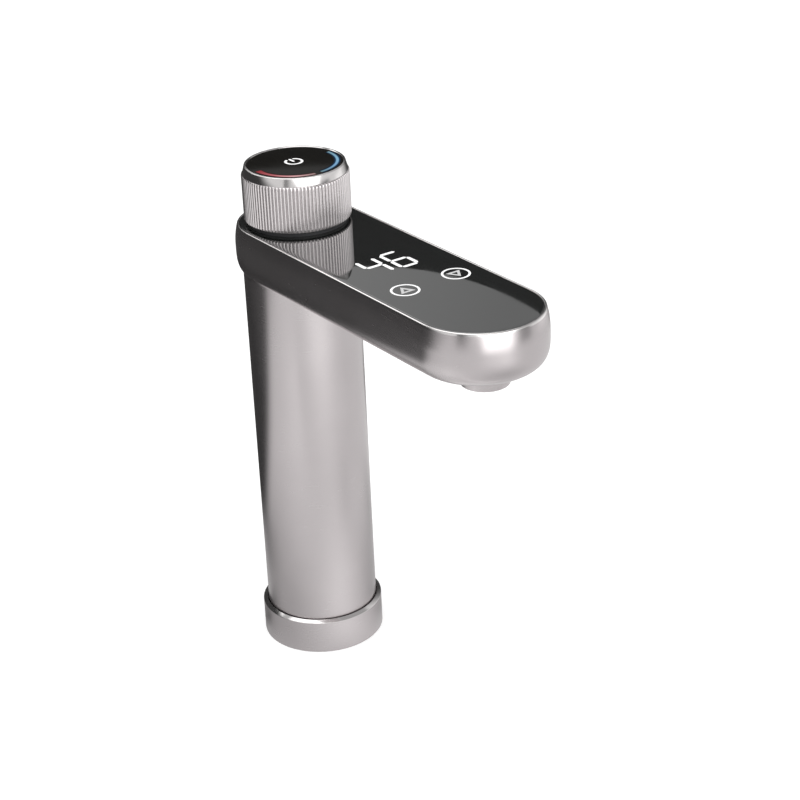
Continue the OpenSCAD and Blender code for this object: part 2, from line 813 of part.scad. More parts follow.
// The hub that turns on the bush, with the lug that ends the dial's turn
module dial_carrier() {
    color("#e0ded6") {
        rotate_extrude() polygon([
            [carrier_bore_r, carrier_z], [carrier_hub_r, carrier_z],
            [carrier_hub_r, carrier_top_z - carrier_web_t],
            [sleeve_bore_dial_r, carrier_top_z - carrier_web_t],
            [sleeve_bore_dial_r, carrier_top_z], [carrier_bore_r, carrier_top_z]
        ]);
        arc_block(carrier_hub_r - 0.5, sleeve_bore_dial_r - 0.1, lug_z, lug_z + lug_h,
                  180, lug_half);
    }
}

module magnet_ring() {
    top = carrier_top_z - carrier_web_t;
    color("#55575a") tube(sleeve_bore_dial_r - 0.6, carrier_hub_r, top - magnet_h, top);
}

module button_glass() {
    color("#141514") rotate_extrude() polygon([
        [0, button_z], [button_r, button_z], [button_r, button_top_z - 0.3],
        [button_r - 0.3, button_top_z], [0, button_top_z]
    ]);
}

// The plunger under the glass, keyed in the post by a rib that also keeps it from rising out
module button_core() {
    color("#2e2e30") difference() {
        union() {
            rod(core_r, core_z, button_z);
            rod(stem_r, stem_z, core_z);
            translate([-rib_r, -rib_w / 2, rib_z]) cube([rib_r - stem_r + 1, rib_w, rib_h]);
        }
        difference() {
            rod(stem_r - stem_wall, stem_z - 1, cup_top_z);
            rod(1.8, plunger_top_z + button_travel + 0.1, cup_top_z + 1);
        }
        tube(core_r - 0.6, core_r - 2.6, button_z - 0.9, button_z + 1);
    }
}

module light_guide() {
    color("#dfe6ea") tube(core_r - 0.6, core_r - 2.6, button_z - 0.9, button_z);
}

base_ring();
deck_gasket();
threaded_shank();
rubber_washer();
steel_washer();
lock_nut();
shank_plug();
riser_tube();
inlet_nipple();
swivel_hub();
thrust_washer();
swivel_orings();
hub_circlip();
stop_pin();
column_tube();
column_foot();
coupling_sleeve();
spout_shell();
water_manifold();
riser_orings();
temperature_sensor();
outlet_pipe();
outlet_elbow();
elbow_oring();
aerator_housing();
aerator_insert();
aerator_washer();
glass_panel();
panel_gasket();
control_board();
board_screws();
board_connector();
display_module();
touch_pads();
dial_post();
post_nut();
dial_bush();
dial_circlip();
dial_board();
push_switch();
hall_sensors();
return_spring();
dial_sleeve();
dial_bezel();
dial_carrier();
magnet_ring();
button_glass();
button_core();
light_guide();
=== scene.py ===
import math
import bmesh
import bpy
import numpy as np
from mathutils import Matrix, Vector


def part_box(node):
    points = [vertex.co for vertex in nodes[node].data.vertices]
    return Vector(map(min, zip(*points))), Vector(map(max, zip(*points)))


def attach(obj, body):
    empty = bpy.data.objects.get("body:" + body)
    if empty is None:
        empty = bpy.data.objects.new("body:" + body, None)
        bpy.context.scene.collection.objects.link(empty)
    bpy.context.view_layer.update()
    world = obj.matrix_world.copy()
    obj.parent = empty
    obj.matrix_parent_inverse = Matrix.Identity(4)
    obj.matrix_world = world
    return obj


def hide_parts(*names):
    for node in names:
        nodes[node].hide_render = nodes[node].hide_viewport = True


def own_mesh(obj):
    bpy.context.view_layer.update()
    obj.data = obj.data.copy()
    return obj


# Water filter faucet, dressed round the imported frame. Lengths in the dictionaries are in mm,
# and makePiece and stageMesh turn them into metres.
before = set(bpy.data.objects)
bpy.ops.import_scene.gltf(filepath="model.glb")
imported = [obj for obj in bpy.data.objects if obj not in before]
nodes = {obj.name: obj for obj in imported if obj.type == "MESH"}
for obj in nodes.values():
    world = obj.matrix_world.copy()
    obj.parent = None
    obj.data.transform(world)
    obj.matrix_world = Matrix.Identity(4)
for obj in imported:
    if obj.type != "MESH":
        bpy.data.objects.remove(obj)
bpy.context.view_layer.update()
mm = 0.001
print("frame loaded:", len(nodes), "nodes")


def low(node, axis):  # lowest place of a node along x, y or z, in mm
    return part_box(node)[0]["xyz".index(axis)] / mm


def high(node, axis):
    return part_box(node)[1]["xyz".index(axis)] / mm


def extent(node):  # a round node's radius, bottom and top
    return high(node, "x"), low(node, "z"), high(node, "z")


# Node tools for the materials

noiseRange = (0.3, 0.7)  # most of a noise's values lie between these


def newMaterial(name):
    material = bpy.data.materials.new(name)
    material.use_nodes = True
    return material, material.node_tree, material.node_tree.nodes["Principled BSDF"]


def feed(tree, socket, value):  # links an input to another node's output, or sets its value
    if isinstance(value, bpy.types.NodeSocket):
        tree.links.new(value, socket)
    else:
        socket.default_value = value


def fill(tree, node, **inputs):  # an input is named with _ for each space
    for key, value in inputs.items():
        feed(tree, node.inputs[key.replace("_", " ")], value)


def addNode(tree, kind, settings=None, numbered=None, **inputs):
    # numbered inputs go by their place, on nodes where names are shared or missing
    node = tree.nodes.new(kind)
    for key, value in (settings or {}).items():
        setattr(node, key, value)
    for place, value in (numbered or {}).items():
        feed(tree, node.inputs[place], value)
    fill(tree, node, **inputs)
    return node


def objectPlace(tree):
    return addNode(tree, "ShaderNodeTexCoord").outputs["Object"]


def objectNoise(tree, scale, detail=3.0, roughness=0.55, stretch=(1, 1, 1)):
    # noise over Object coordinates, stretch makes it run in streaks
    mapped = addNode(tree, "ShaderNodeMapping", Vector=objectPlace(tree), Scale=stretch).outputs["Vector"]
    return addNode(tree, "ShaderNodeTexNoise", Vector=mapped, Scale=scale, Detail=detail,
                   Roughness=roughness).outputs["Fac"]


def fromAxis(tree, place):  # a point's distance from the upright axis
    flat = addNode(tree, "ShaderNodeMapping", Vector=place, Scale=(1, 1, 0)).outputs["Vector"]
    return addNode(tree, "ShaderNodeVectorMath", {"operation": "LENGTH"}, {0: flat}).outputs["Value"]


def mixColours(tree, share, first, second):
    # a Mix node has its colours at inputs 6 and 7 and at output 2
    mix = addNode(tree, "ShaderNodeMix", {"data_type": "RGBA"}, {6: first, 7: second}, Factor=share)
    return mix.outputs[2]


def spread(tree, value, lowest, highest):  # maps noise's middle range onto lowest to highest
    return addNode(tree, "ShaderNodeMapRange", Value=value, From_Min=noiseRange[0],
                   From_Max=noiseRange[1], To_Min=lowest, To_Max=highest).outputs["Result"]


def addBump(tree, shader, height, depth):
    bump = addNode(tree, "ShaderNodeBump", Height=height, Distance=depth * mm, Strength=1.0)
    fill(tree, shader, Normal=bump.outputs["Normal"])


def tint(tree, shader, value, darker, colour):
    ramp = addNode(tree, "ShaderNodeValToRGB", Fac=value)
    for stop, place, shade in zip(ramp.color_ramp.elements, noiseRange, (darker, colour)):
        stop.position, stop.color = place, (*shade, 1)
    fill(tree, shader, Base_Color=ramp.outputs["Color"])


# Finishes

nickel = {"colour": (0.605, 0.567, 0.572), "darker": (0.575, 0.538, 0.543), "roughness": (0.23, 0.28),
          "grainPerMetre": 900, "grainDepth": 0.0002, "cloudPerMetre": 35, "cloudShare": 0.4}
# the ribs' nickel is paler than the plain nickel, a painted highlight on the crests, and its groove colour,
# fading in from grooveR out to crestR, is painted shade in the grooves
ribNickelPainted = {**nickel, "colour": (0.93, 0.885, 0.89), "darker": (0.89, 0.845, 0.85),
             "roughness": (0.14, 0.18), "grainDepth": 0.0001,
             "groove": (0.59, 0.56, 0.564), "grooveR": 21.1, "crestR": 21.55}
polish = {"colour": (0.78, 0.755, 0.75), "darker": (0.74, 0.716, 0.712), "roughness": (0.13, 0.17),
          "grainPerMetre": 2500, "grainDepth": 0.0006, "cloudPerMetre": 120}
glass = {"colour": (0.011, 0.012, 0.0115), "reflectIndex": 2.6, "roughness": (0.012, 0.028)}
buttonGlass = {"colour": (0.0105, 0.0098, 0.0085), "reflectIndex": 1.13, "roughness": (0.10, 0.14)}
wiping = {"perMetre": 60, "stretch": (1, 4, 1), "darker": 0.85}
plain = {"cloudPerMetre": 80, "roughnessShares": (0.88, 1.12), "darker": 0.9}


def satinNickel(name, stretch, finish=nickel):
    # satin metal: fine grain drawn along the piece, and faint clouds in its roughness
    material, tree, shader = newMaterial(name)
    grain = objectNoise(tree, finish["grainPerMetre"], detail=2.0, roughness=0.6, stretch=stretch)
    clouds = objectNoise(tree, finish["cloudPerMetre"], detail=2.0)
    both = addNode(tree, "ShaderNodeMix", {"data_type": "FLOAT"}, Factor=finish["cloudShare"],
                   A=grain, B=clouds).outputs["Result"]
    fill(tree, shader, Metallic=1.0, Roughness=spread(tree, both, *finish["roughness"]))
    tint(tree, shader, clouds, finish["darker"], finish["colour"])
    addBump(tree, shader, grain, finish["grainDepth"])
    return material


def ribsWithPaintedLight(name, stretch):
    # the satin metal with painted shade: darker towards the grooves, by the distance from the axis, and paler
    # than the plain nickel at the crests as a painted highlight
    material = satinNickel(name, stretch, ribNickelPainted)
    tree = material.node_tree
    base = tree.nodes["Principled BSDF"].inputs["Base Color"]
    share = addNode(tree, "ShaderNodeMapRange", Value=fromAxis(tree, objectPlace(tree)),
                    From_Min=ribNickelPainted["grooveR"] * mm, From_Max=ribNickelPainted["crestR"] * mm).outputs["Result"]
    crest = base.links[0].from_socket
    tree.links.new(mixColours(tree, share, (*ribNickelPainted["groove"], 1), crest), base)
    return material


def polishedNickel(name):
    material, tree, shader = newMaterial(name)
    clouds = objectNoise(tree, polish["cloudPerMetre"])
    fill(tree, shader, Metallic=1.0, Roughness=spread(tree, clouds, *polish["roughness"]))
    tint(tree, shader, clouds, polish["darker"], polish["colour"])
    addBump(tree, shader, objectNoise(tree, polish["grainPerMetre"], detail=1.0), polish["grainDepth"])
    return material


def blackGlass(name, finish):
    # opaque black glass, a little uneven where it has been wiped
    material, tree, shader = newMaterial(name)
    wiped = objectNoise(tree, wiping["perMetre"], roughness=0.6, stretch=wiping["stretch"])
    fill(tree, shader, IOR=finish["reflectIndex"], Roughness=spread(tree, wiped, *finish["roughness"]))
    tint(tree, shader, wiped, tuple(wiping["darker"] * c for c in finish["colour"]), finish["colour"])
    return material


def moulded(name, colour, roughness, grainPerMetre=1500, depth=0.004, metallic=0.0, stretch=(1, 1, 1)):
    # plastics, rubber and plain metals under the worktop and inside
    material, tree, shader = newMaterial(name)
    grain = objectNoise(tree, grainPerMetre, roughness=0.6, stretch=stretch)
    clouds = objectNoise(tree, plain["cloudPerMetre"], detail=2.0)
    lowest, highest = (min(1, roughness * share) for share in plain["roughnessShares"])
    fill(tree, shader, Metallic=metallic, Roughness=spread(tree, clouds, lowest, highest))
    tint(tree, shader, clouds, tuple(plain["darker"] * c for c in colour), colour)
    addBump(tree, shader, grain, depth)
    return material


finishes = {
    "satin_nickel": satinNickel("satinNickelTurned", stretch=(0.15, 0.15, 3)),
    "bright_nickel": polishedNickel("brightNickel"),
    "black_glass": blackGlass("mirrorGlass", glass),
    "cast_brass": moulded("machinedBrass", (0.66, 0.50, 0.25), 0.27, 700, metallic=1.0,
                          stretch=(0.2, 0.2, 4)),
    "black_rubber": moulded("blackRubber", (0.022, 0.022, 0.022), 0.72, 2600, depth=0.012),
    "spring_steel": moulded("springSteel", (0.56, 0.56, 0.57), 0.3, 900, depth=0.003, metallic=1.0),
    "white_acetal": moulded("whiteAcetal", (0.80, 0.79, 0.75), 0.42),
    "black_nylon": moulded("blackNylon", (0.028, 0.028, 0.03), 0.5, 2200, depth=0.006),
    "board_green": moulded("boardGreen", (0.02, 0.13, 0.055), 0.35),
    "display_white": moulded("displayWhite", (0.78, 0.79, 0.79), 0.4),
    "clear_acrylic": moulded("clearAcrylic", (0.82, 0.88, 0.90), 0.15),
    "bonded_magnet": moulded("bondedMagnet", (0.05, 0.05, 0.055), 0.6),
}
nickelAlong = satinNickel("satinNickelDrawn", stretch=(0.12, 2.5, 2.5))
nickelRibs = ribsWithPaintedLight("satinNickelRibsPaintedLight", stretch=(1, 1, 0.3))
buttonBlack = blackGlass("buttonGlass", buttonGlass)
for node in nodes.values():  # every carried-over node takes its slot's finish
    for place in node.material_slots:
        slotName = place.material.name.split(".")[0]
        place.material = finishes.get(slotName, finishes["satin_nickel"])
print("finishes:", len(finishes) + 3)


# Shape tools: a sheet is rows x columns of points in mm, with its number of the piece's materials

def addObject(name, data):
    thing = bpy.data.objects.new(name, data)
    bpy.context.scene.collection.objects.link(thing)
    return thing


def sheet(points, closed=True, finish=0):
    return {"points": np.asarray(points, float), "closed": closed, "finish": finish}


def quadGrid(rows, cols, closed):
    # the corners of each face of a grid; on a closed one the last column meets the first
    i, j = np.meshgrid(np.arange(rows - 1), np.arange(cols if closed else cols - 1), indexing="ij")
    k = (j + 1) % cols
    return np.stack([i * cols + j, i * cols + k, (i + 1) * cols + k, (i + 1) * cols + j], -1)


weld = {"within": 0.0015, "thinnest": 0.0005}  # points this close become one, and thinner faces go


def makePiece(name, sheets, body, slotName, stands=None, materials=None, crease=32):
    # joins the sheets, welds their shared edges and turns all faces outwards;
    # it has its slot's finish unless others are named, and stands for one node or for none
    points, quads, finish, start = [], [], [], 0
    for part in sheets:
        rows, cols = part["points"].shape[:2]
        corners = quadGrid(rows, cols, part["closed"])
        number = np.broadcast_to(np.asarray(part["finish"]), (rows - 1,))
        points.append(part["points"].reshape(-1, 3) * mm)
        quads.append(corners.reshape(-1, 4) + start)
        finish.append(np.repeat(number, corners.shape[1]))
        start += rows * cols
    points, quads = np.concatenate(points), np.concatenate(quads)
    mesh = bpy.data.meshes.new(name)
    mesh.vertices.add(len(points))
    mesh.vertices.foreach_set("co", points.ravel())
    mesh.loops.add(quads.size)
    mesh.loops.foreach_set("vertex_index", quads.ravel().astype(np.int32))
    mesh.polygons.add(len(quads))
    mesh.polygons.foreach_set("loop_start", np.arange(0, quads.size, 4, dtype=np.int32))
    mesh.polygons.foreach_set("material_index", np.concatenate(finish).astype(np.int32))
    mesh.update(calc_edges=True)
    welded = bmesh.new()
    welded.from_mesh(mesh)
    bmesh.ops.remove_doubles(welded, verts=welded.verts, dist=weld["within"] * mm)
    bmesh.ops.dissolve_degenerate(welded, edges=welded.edges, dist=weld["thinnest"] * mm)
    bmesh.ops.recalc_face_normals(welded, faces=welded.faces)
    welded.to_mesh(mesh)
    welded.free()
    mesh.polygons.foreach_set("use_smooth", np.ones(len(mesh.polygons), bool))
    mesh.set_sharp_from_angle(angle=math.radians(crease))
    for material in materials or [finishes[slotName]]:
        mesh.materials.append(material)
    piece = addObject(name, mesh)
    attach(piece, body)
    if stands:
        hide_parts(stands)
    return piece


def rounded(corners, steps=6):
    # each (r, z, radius) corner gives way to the arc of that radius that touches both of its sides
    out = []
    for i, (r, z, radius) in enumerate(corners):
        corner = np.array([r, z], float)
        if not radius:
            out.append(corner[None])
            continue
        before, after = (np.array(corners[k % len(corners)][:2], float) - corner for k in (i - 1, i + 1))
        before, after = before / np.linalg.norm(before), after / np.linalg.norm(after)
        half = math.acos(np.clip(before @ after, -1, 1)) / 2
        centre = corner + (before + after) / np.linalg.norm(before + after) * radius / math.sin(half)
        first = corner + before * radius / math.tan(half) - centre
        last = corner + after * radius / math.tan(half) - centre
        turn, t = math.pi - 2 * half, np.linspace(0, 1, steps + 1)[:, None]
        out.append(centre + (np.sin((1 - t) * turn) * first + np.sin(t * turn) * last) / math.sin(turn))
    return np.concatenate(out)


def onPlan(r, turn, x=0.0, y=0.0):  # points of a plan at radius r and angle turn about (x, y)
    return np.stack([x + r * np.cos(turn), y + r * np.sin(turn)], -1)


def inSpace(r, turn, z, x=0.0):  # the same about (x, 0), at height z
    across = x + r * np.cos(turn)
    return np.stack([across, r * np.sin(turn), z + 0 * across], -1)


def revolved(profile, count=192, ring=True):
    # (r, z) points turned about the upright axis; a ring profile ends where it starts
    profile = np.vstack([profile, profile[:1]]) if ring else np.asarray(profile)
    return inSpace(profile[:, :1], np.linspace(0, 2 * np.pi, count, endpoint=False), profile[:, 1:])


def planOutline(along, rearSteps=72, tipSteps=72):
    # half a turn about the first spine point, along one side, half a turn about the last, and back
    rear = np.radians(np.linspace(90, 270, rearSteps + 1))
    tip = np.radians(np.linspace(-90, 90, tipSteps + 1))
    side = along[:-1]
    back = along[::-1][:-1]
    spineX = np.concatenate([along[0] + 0 * rear[:-1], side, along[-1] + 0 * tip[:-1], back])
    facing = np.concatenate([rear[:-1], 0 * side - np.pi / 2, tip[:-1], 0 * back + np.pi / 2])
    return rear, tip, (spineX, facing)


def carried(outline, r, z):
    # a section of half widths r and heights z, carried round a plan outline
    spineX, facing = outline
    return inSpace(r, facing, z, spineX)


# Base ring and column

baseRing = {"skirt": 3.2, "bevelRise": 1.0, "bevelRun": 1.7, "foot": 0.4, "edge": 0.25, "topEdge": 0.2,
            "columnGap": 0.35, "mouthDrop": 0.2, "mouthEdge": 0.1, "bore": 14.4, "polishedBelow": 0.05,
            "around": 192}
columnTube = {"edge": 0.3, "wall": 1.5, "around": 256}


def makeBase():
    b = baseRing
    radius, bottom, top = extent("base_ring")
    web = low("swivel_hub", "z")
    socket, seal = high("column_tube", "x") + b["columnGap"], high("deck_gasket", "z")
    shoulder, skirt = top - b["bevelRise"], radius - b["skirt"]
    body = revolved(rounded([
        (radius, bottom, b["foot"]), (radius, shoulder, b["edge"]),
        (radius - b["bevelRun"], top, b["topEdge"]), (socket, top - b["mouthDrop"], b["mouthEdge"]),
        (socket, web, 0), (b["bore"], web, 0), (b["bore"], seal, 0), (skirt, seal, 0),
        (skirt, bottom, 0)]), b["around"])
    middle = (body[:-1, 0] + body[1:, 0]) / 2  # of each ring of faces
    bright = (middle[:, 2] > shoulder - b["polishedBelow"]) & (middle[:, 0] > socket)
    makePiece("baseRing", [sheet(body, finish=bright.astype(int))], "base", "satin_nickel", "base_ring",
              [finishes["satin_nickel"], finishes["bright_nickel"]])
    c = columnTube
    radius, bottom, top = extent("column_tube")
    makePiece("columnTube", [sheet(revolved(rounded([
        (radius, bottom, c["edge"]), (radius, top, 0), (radius - c["wall"], top, 0),
        (radius - c["wall"], bottom, 0)]), c["around"]))],
        "column", "satin_nickel", "column_tube")


makeBase()
print("base ring and column made")


# Spout shell

spout = {"rimHalf": 24.6, "bellyDepth": 8.6, "hullDepth": 15.0, "bilgePower": 4, "wall": 2.0,
         "blendTurn": 36, "rimFrom": 1.0, "rimRound": 0.62, "rimInner": 0.3, "glassHalf": 23.65,
         "glassDeep": 3.4, "ledgeHalf": 21.75, "ledgeDeep": 5.4, "neckBore": 22.0, "bowFrom": 98.0,
         "outletX": 121.4, "outletHalf": 9.3, "outletBore": 8.0, "outletZ": 160.3, "outletFillet": 2.0,
         "outletLip": 0.4, "alongRear": 72, "alongSide": 56, "alongTip": 72, "alongBow": 10,
         "across": 30, "bowStops": 5, "downNeck": 25, "rimSteps": 8}


def makeSpout():
    s = spout
    top, belly, power = high("spout_shell", "z"), high("spout_shell", "y"), s["bilgePower"]
    reach = high("spout_shell", "x") - belly
    column = high("column_tube", "x")
    neckDepth = top - high("column_tube", "z")

    def hull(angle, wall):
        # superellipse |r/a|^p + |h/b|^p = 1 in polar form, with a and b less the wall
        scale = (np.cos(angle) ** power + np.sin(angle) ** power) ** (-1 / power)
        return ((belly - wall) * np.cos(angle) * scale,
                s["bellyDepth"] + (s["hullDepth"] - wall) * np.sin(angle) * scale)

    def hullDeep(r, wall):  # the same curve, solved for its depth at a half width r
        share = np.clip(np.abs(r) / (belly - wall), 0, 1)
        return s["bellyDepth"] + (s["hullDepth"] - wall) * (1 - share ** power) ** (1 / power)

    def topside(d, wall):  # half width above the belly: falls as the square of the height over it
        return belly - wall - (belly - s["rimHalf"]) * (1 - d / s["bellyDepth"]) ** 2

    # the fillet to the column is the circle that touches the hull at blendTurn and the column's wall
    blendAt = math.radians(s["blendTurn"])
    blendR, blendD = hull(np.array(blendAt), 0)
    slope = np.array([math.cos(blendAt) ** (power - 1) / belly,
                      math.sin(blendAt) ** (power - 1) / s["hullDepth"]])
    slope /= np.linalg.norm(slope)
    filletR = (blendR - column) / (1 - slope[0])
    filletD = blendD + filletR * slope[1]

    def outerNeck(d):
        rise = np.clip(filletD - d, 0, filletR * slope[1])
        return column + filletR - np.sqrt(filletR ** 2 - rise ** 2)

    def innerNeck(d):
        return s["neckBore"] + 0 * d

    shaft = np.linspace(0, s["bowFrom"], s["alongSide"] + 1)
    bow = np.linspace(s["bowFrom"], reach, s["alongBow"] + 1)
    rear, tip, outline = planOutline(np.concatenate([shaft[:-1], bow]), s["alongRear"], s["alongTip"])

    def underside(wall, neck, turn, holeR, angles):
        # below the blend line: the shaft of the hull, the neck, and the bow round the outlet
        a = np.linspace(turn, np.pi / 2, s["across"] + 1)
        r, d = hull(a, wall)
        y, d = np.concatenate([-r, r[::-1][1:]]), np.concatenate([d, d[::-1][1:]])
        start = np.sqrt(np.clip(neck(d) ** 2 - y ** 2, 0, None))
        start[[0, -1]] = 0
        share = shaft / s["bowFrom"]
        x = start[:, None] + (s["bowFrom"] - start[:, None]) * share
        keel = np.stack([x, y[:, None] + 0 * x, top - d[:, None] + 0 * x], -1)
        around = np.concatenate([np.arctan2(y, start), rear[1:-1]])
        highest = np.concatenate([d, d[0] + 0 * rear[1:-1]])
        deep = highest + (neckDepth - highest) * np.linspace(0, 1, s["downNeck"])[:, None]
        collar = inSpace(neck(deep), around, top - deep)
        # the bow: straight rays in plan from its outline to the outlet's circle, lifted to the hull
        edge = np.concatenate([
            np.stack([s["bowFrom"] + 0 * y, y], -1),
            np.stack([bow[1:], r[0] + 0 * bow[1:]], -1),
            onPlan(r[0], tip[::-1][1:], reach),
            np.stack([bow[::-1][1:-1], -r[0] + 0 * bow[1:-1]], -1)])
        if angles is None:
            angles = np.arctan2(edge[:, 1], edge[:, 0] - s["outletX"])
        hole = onPlan(holeR, angles, s["outletX"])
        rows = len(r) - s["bowStops"]
        step = ((r[0] - r[:rows]) / (r[0] - r[rows - 1]))[:, None, None]
        plan = edge + (hole - edge) * step
        x, y = plan[..., 0], plan[..., 1]
        half = np.where(x > reach, np.hypot(x - reach, y), np.abs(y))
        bowSheet = np.concatenate([plan, top - hullDeep(half, wall)[..., None]], -1)
        return keel, collar, bowSheet, angles

    keel, collar, bowSheet, angles = underside(
        0, outerNeck, blendAt, s["outletHalf"] + s["outletFillet"], None)
    q = s["neckBore"] / (belly - s["wall"])
    innerTurn = math.atan2((1 - q ** power) ** (1 / power), q)
    keelIn, collarIn, bowIn, angles = underside(s["wall"], innerNeck, innerTurn, s["outletBore"], angles)

    # the outlet: a quarter fillet, the wall, a small round and the bore up to the inner skin
    rootZ, boreZ, endZ = bowSheet[-1, :, 2], bowIn[-1, :, 2], s["outletZ"]
    fillet, radius, lip = s["outletFillet"], s["outletHalf"], s["outletLip"]
    filletTurn = np.radians(np.linspace(90, 0, 9))[:, None]
    lipTurn = np.radians(np.linspace(0, 90, 6))[:, None]
    radii = np.concatenate([radius + fillet - fillet * np.cos(filletTurn),
                            radius - lip + lip * np.cos(lipTurn),
                            [[s["outletBore"]], [s["outletBore"]]]]) + 0 * rootZ
    heights = np.concatenate([rootZ - fillet + fillet * np.sin(filletTurn),
                              endZ + lip - lip * np.sin(lipTurn) + 0 * rootZ,
                              endZ + 0 * rootZ[None], boreZ[None]])
    nozzle = inSpace(radii, angles, heights, s["outletX"])

    # the section above the blend line, from outside over the rim and the glass's seat to the inside
    bilge = hull(np.linspace(blendAt, 0, 14), 0)
    up = np.linspace(s["bellyDepth"], s["rimFrom"], 12)[1:]
    outside = np.column_stack([np.concatenate([bilge[0], topside(up, 0)]), np.concatenate([bilge[1], up])])
    rim = rounded([(*outside[-1], 0), (s["rimHalf"], 0, s["rimRound"]), (s["glassHalf"], 0, s["rimInner"]),
                   (s["glassHalf"], s["glassDeep"], 0), (s["ledgeHalf"], s["glassDeep"], 0),
                   (s["ledgeHalf"], s["ledgeDeep"], 0),
                   (float(topside(s["ledgeDeep"], s["wall"])), s["ledgeDeep"], 0)], s["rimSteps"])[1:]
    down = np.linspace(s["ledgeDeep"], s["bellyDepth"], 5)[1:-1]
    bilgeIn = hull(np.linspace(0, innerTurn, 10), s["wall"])
    inside = np.column_stack([np.concatenate([topside(down, s["wall"]), bilgeIn[0]]),
                              np.concatenate([down, bilgeIn[1]])])
    path = np.vstack([outside, rim, inside])
    bright = np.zeros(len(path) - 1, int)
    bright[len(outside) - 1: len(outside) + 2 * s["rimSteps"] + 1] = 1  # over the rim's two rounds
    annulus = np.stack([collar[-1], collarIn[-1]])
    makePiece("spoutShell", [
        sheet(carried(outline, path[:, :1], top - path[:, 1:]), finish=bright),
        sheet(keel, False), sheet(collar), sheet(bowSheet),
        sheet(nozzle), sheet(keelIn, False), sheet(collarIn), sheet(bowIn), sheet(annulus)],
        "column", "satin_nickel", "spout_shell", [nickelAlong, finishes["bright_nickel"]], crease=25)


makeSpout()
print("spout made")


# Glass panel

panel = {"bevel": 0.25, "bevelSteps": 5, "flatFrom": 2, "postHole": 17.5, "alongSide": 41, "faceRows": 6}


def makePanel():
    p = panel
    top, bottom, half = high("glass_panel", "z"), low("glass_panel", "z"), high("glass_panel", "y")
    outline = planOutline(np.linspace(0, high("glass_panel", "x") - half, p["alongSide"]))[2]
    flat, bevel = half - p["flatFrom"], p["bevel"]
    edge = rounded([(flat, bottom, 0), (half, bottom, bevel), (half, top, bevel), (flat, top, 0)],
                   p["bevelSteps"])
    rimSheet = carried(outline, edge[:, :1], edge[:, 1:])
    hole = onPlan(p["postHole"], np.arctan2(rimSheet[0, :, 1], rimSheet[0, :, 0]))

    def face(row, z):  # flat rows between the edge and the post's hole
        share = np.linspace(0, 1, p["faceRows"])[:, None, None]
        plan = row[:, :2] + (hole - row[:, :2]) * share
        return np.concatenate([plan, z + 0 * plan[..., :1]], -1)

    bottomFace, topFace = face(rimSheet[0], bottom), face(rimSheet[-1], top)
    makePiece("glassPanel", [sheet(rimSheet), sheet(bottomFace), sheet(topFace),
                             sheet(np.stack([bottomFace[-1], topFace[-1]]))],
              "column", "black_glass", "glass_panel")


makePanel()
print("glass panel made")


# Dial

dial = {"ribs": 92, "ribDepth": 0.55, "perRib": 12, "grooveShare": 0.2, "bore": 19.4, "endRound": 0.6,
        "endChamfer": 0.7, "endRows": 9, "endPower": 1.5, "endBelow": 0.05, "plainFrom": 1.5, "plainRows": 6}
bezel = {"bore": 19.45, "topR": 20.26, "drop": 0.1, "lip": 0.25, "innerLip": 0.06, "flare": (0.33, 0.25),
         "flareEdge": 0.1, "past": 0.05, "foot": 0.12, "skirtR": 18.7, "skirtTop": 0.2, "around": 256}
button = {"proud": 0.3, "edge": 0.15, "foot": 0.1}


def makeDial():
    d = dial
    radius, bottom, top = extent("dial_sleeve")
    turn = np.linspace(0, 2 * np.pi, d["ribs"] * d["perRib"], endpoint=False)
    # across each rib the crest is one arc of a circle, and the rest is the groove's flat floor
    across = np.abs(2 * (turn * d["ribs"] / (2 * np.pi) % 1) - 1) * np.pi * radius / d["ribs"]
    half, depth = (1 - d["grooveShare"]) * np.pi * radius / d["ribs"], d["ribDepth"]
    ribR = (half ** 2 + depth ** 2) / (2 * depth)
    crest = np.sqrt(ribR ** 2 - np.minimum(across, half) ** 2) - (ribR - depth)
    grooveR = radius - depth
    rise = np.linspace(0, 1, d["endRows"]) ** d["endPower"] * d["endRound"]
    plainZ = np.linspace(bottom + d["plainFrom"], top - d["plainFrom"], d["plainRows"])
    z = np.concatenate([bottom + rise, plainZ, (top - rise)[::-1]])[:, None]
    # the ribs' ends slope at about 45 degrees, mixed with a quarter ellipse that rounds the slope off
    toEnd = np.clip(np.minimum(z - bottom, top - z) / d["endRound"], 0, 1)
    ellipse = np.sqrt(1 - (1 - toEnd) ** 2)
    share = ellipse + d["endChamfer"] * (toEnd - ellipse)
    r = np.minimum(grooveR + crest, grooveR - d["endBelow"] + (depth + d["endBelow"]) * share)
    outer = inSpace(r, turn, z)
    inner = np.stack([inSpace(d["bore"], turn, h) for h in (top, bottom)])
    makePiece("dialSleeve", [sheet(np.concatenate([outer, inner, outer[:1]]))], "dial", "satin_nickel",
              "dial_sleeve", [nickelRibs], crease=50)
    # the bezel's top falls outwards, and its bore opens upwards down to the button's level
    b = bezel
    seat, rimTop = extent("dial_bezel")[1:]
    run, deep = b["flare"]
    hang = top + b["skirtTop"]
    makePiece("dialBezel", [sheet(revolved(rounded([
        (grooveR + b["past"], top, b["foot"]), (b["topR"], rimTop - b["drop"], b["lip"]),
        (b["bore"], rimTop, b["innerLip"]), (b["bore"] - run, rimTop - deep, b["flareEdge"]),
        (b["bore"] - run, hang, 0), (b["skirtR"], hang, 0), (b["skirtR"], seat, 0),
        (d["bore"], seat, 0), (d["bore"], top, 0)]), b["around"]))],
        "dial", "bright_nickel", "dial_bezel")


def buttonTop():
    return high("button_glass", "z") + button["proud"]


def makeButton():
    # a plain disc, a little below the bezel's top
    radius, bottom = extent("button_glass")[:2]
    top = buttonTop()
    profile = rounded([(0, bottom, 0), (radius, bottom, button["foot"]), (radius, top, button["edge"]),
                       (0, top, 0)])
    makePiece("buttonGlass", [sheet(revolved(profile, ring=False))], "button", "black_glass",
              "button_glass", [buttonBlack])


spring = {"wireR": 0.4, "turns": 5, "perTurn": 32, "around": 12}


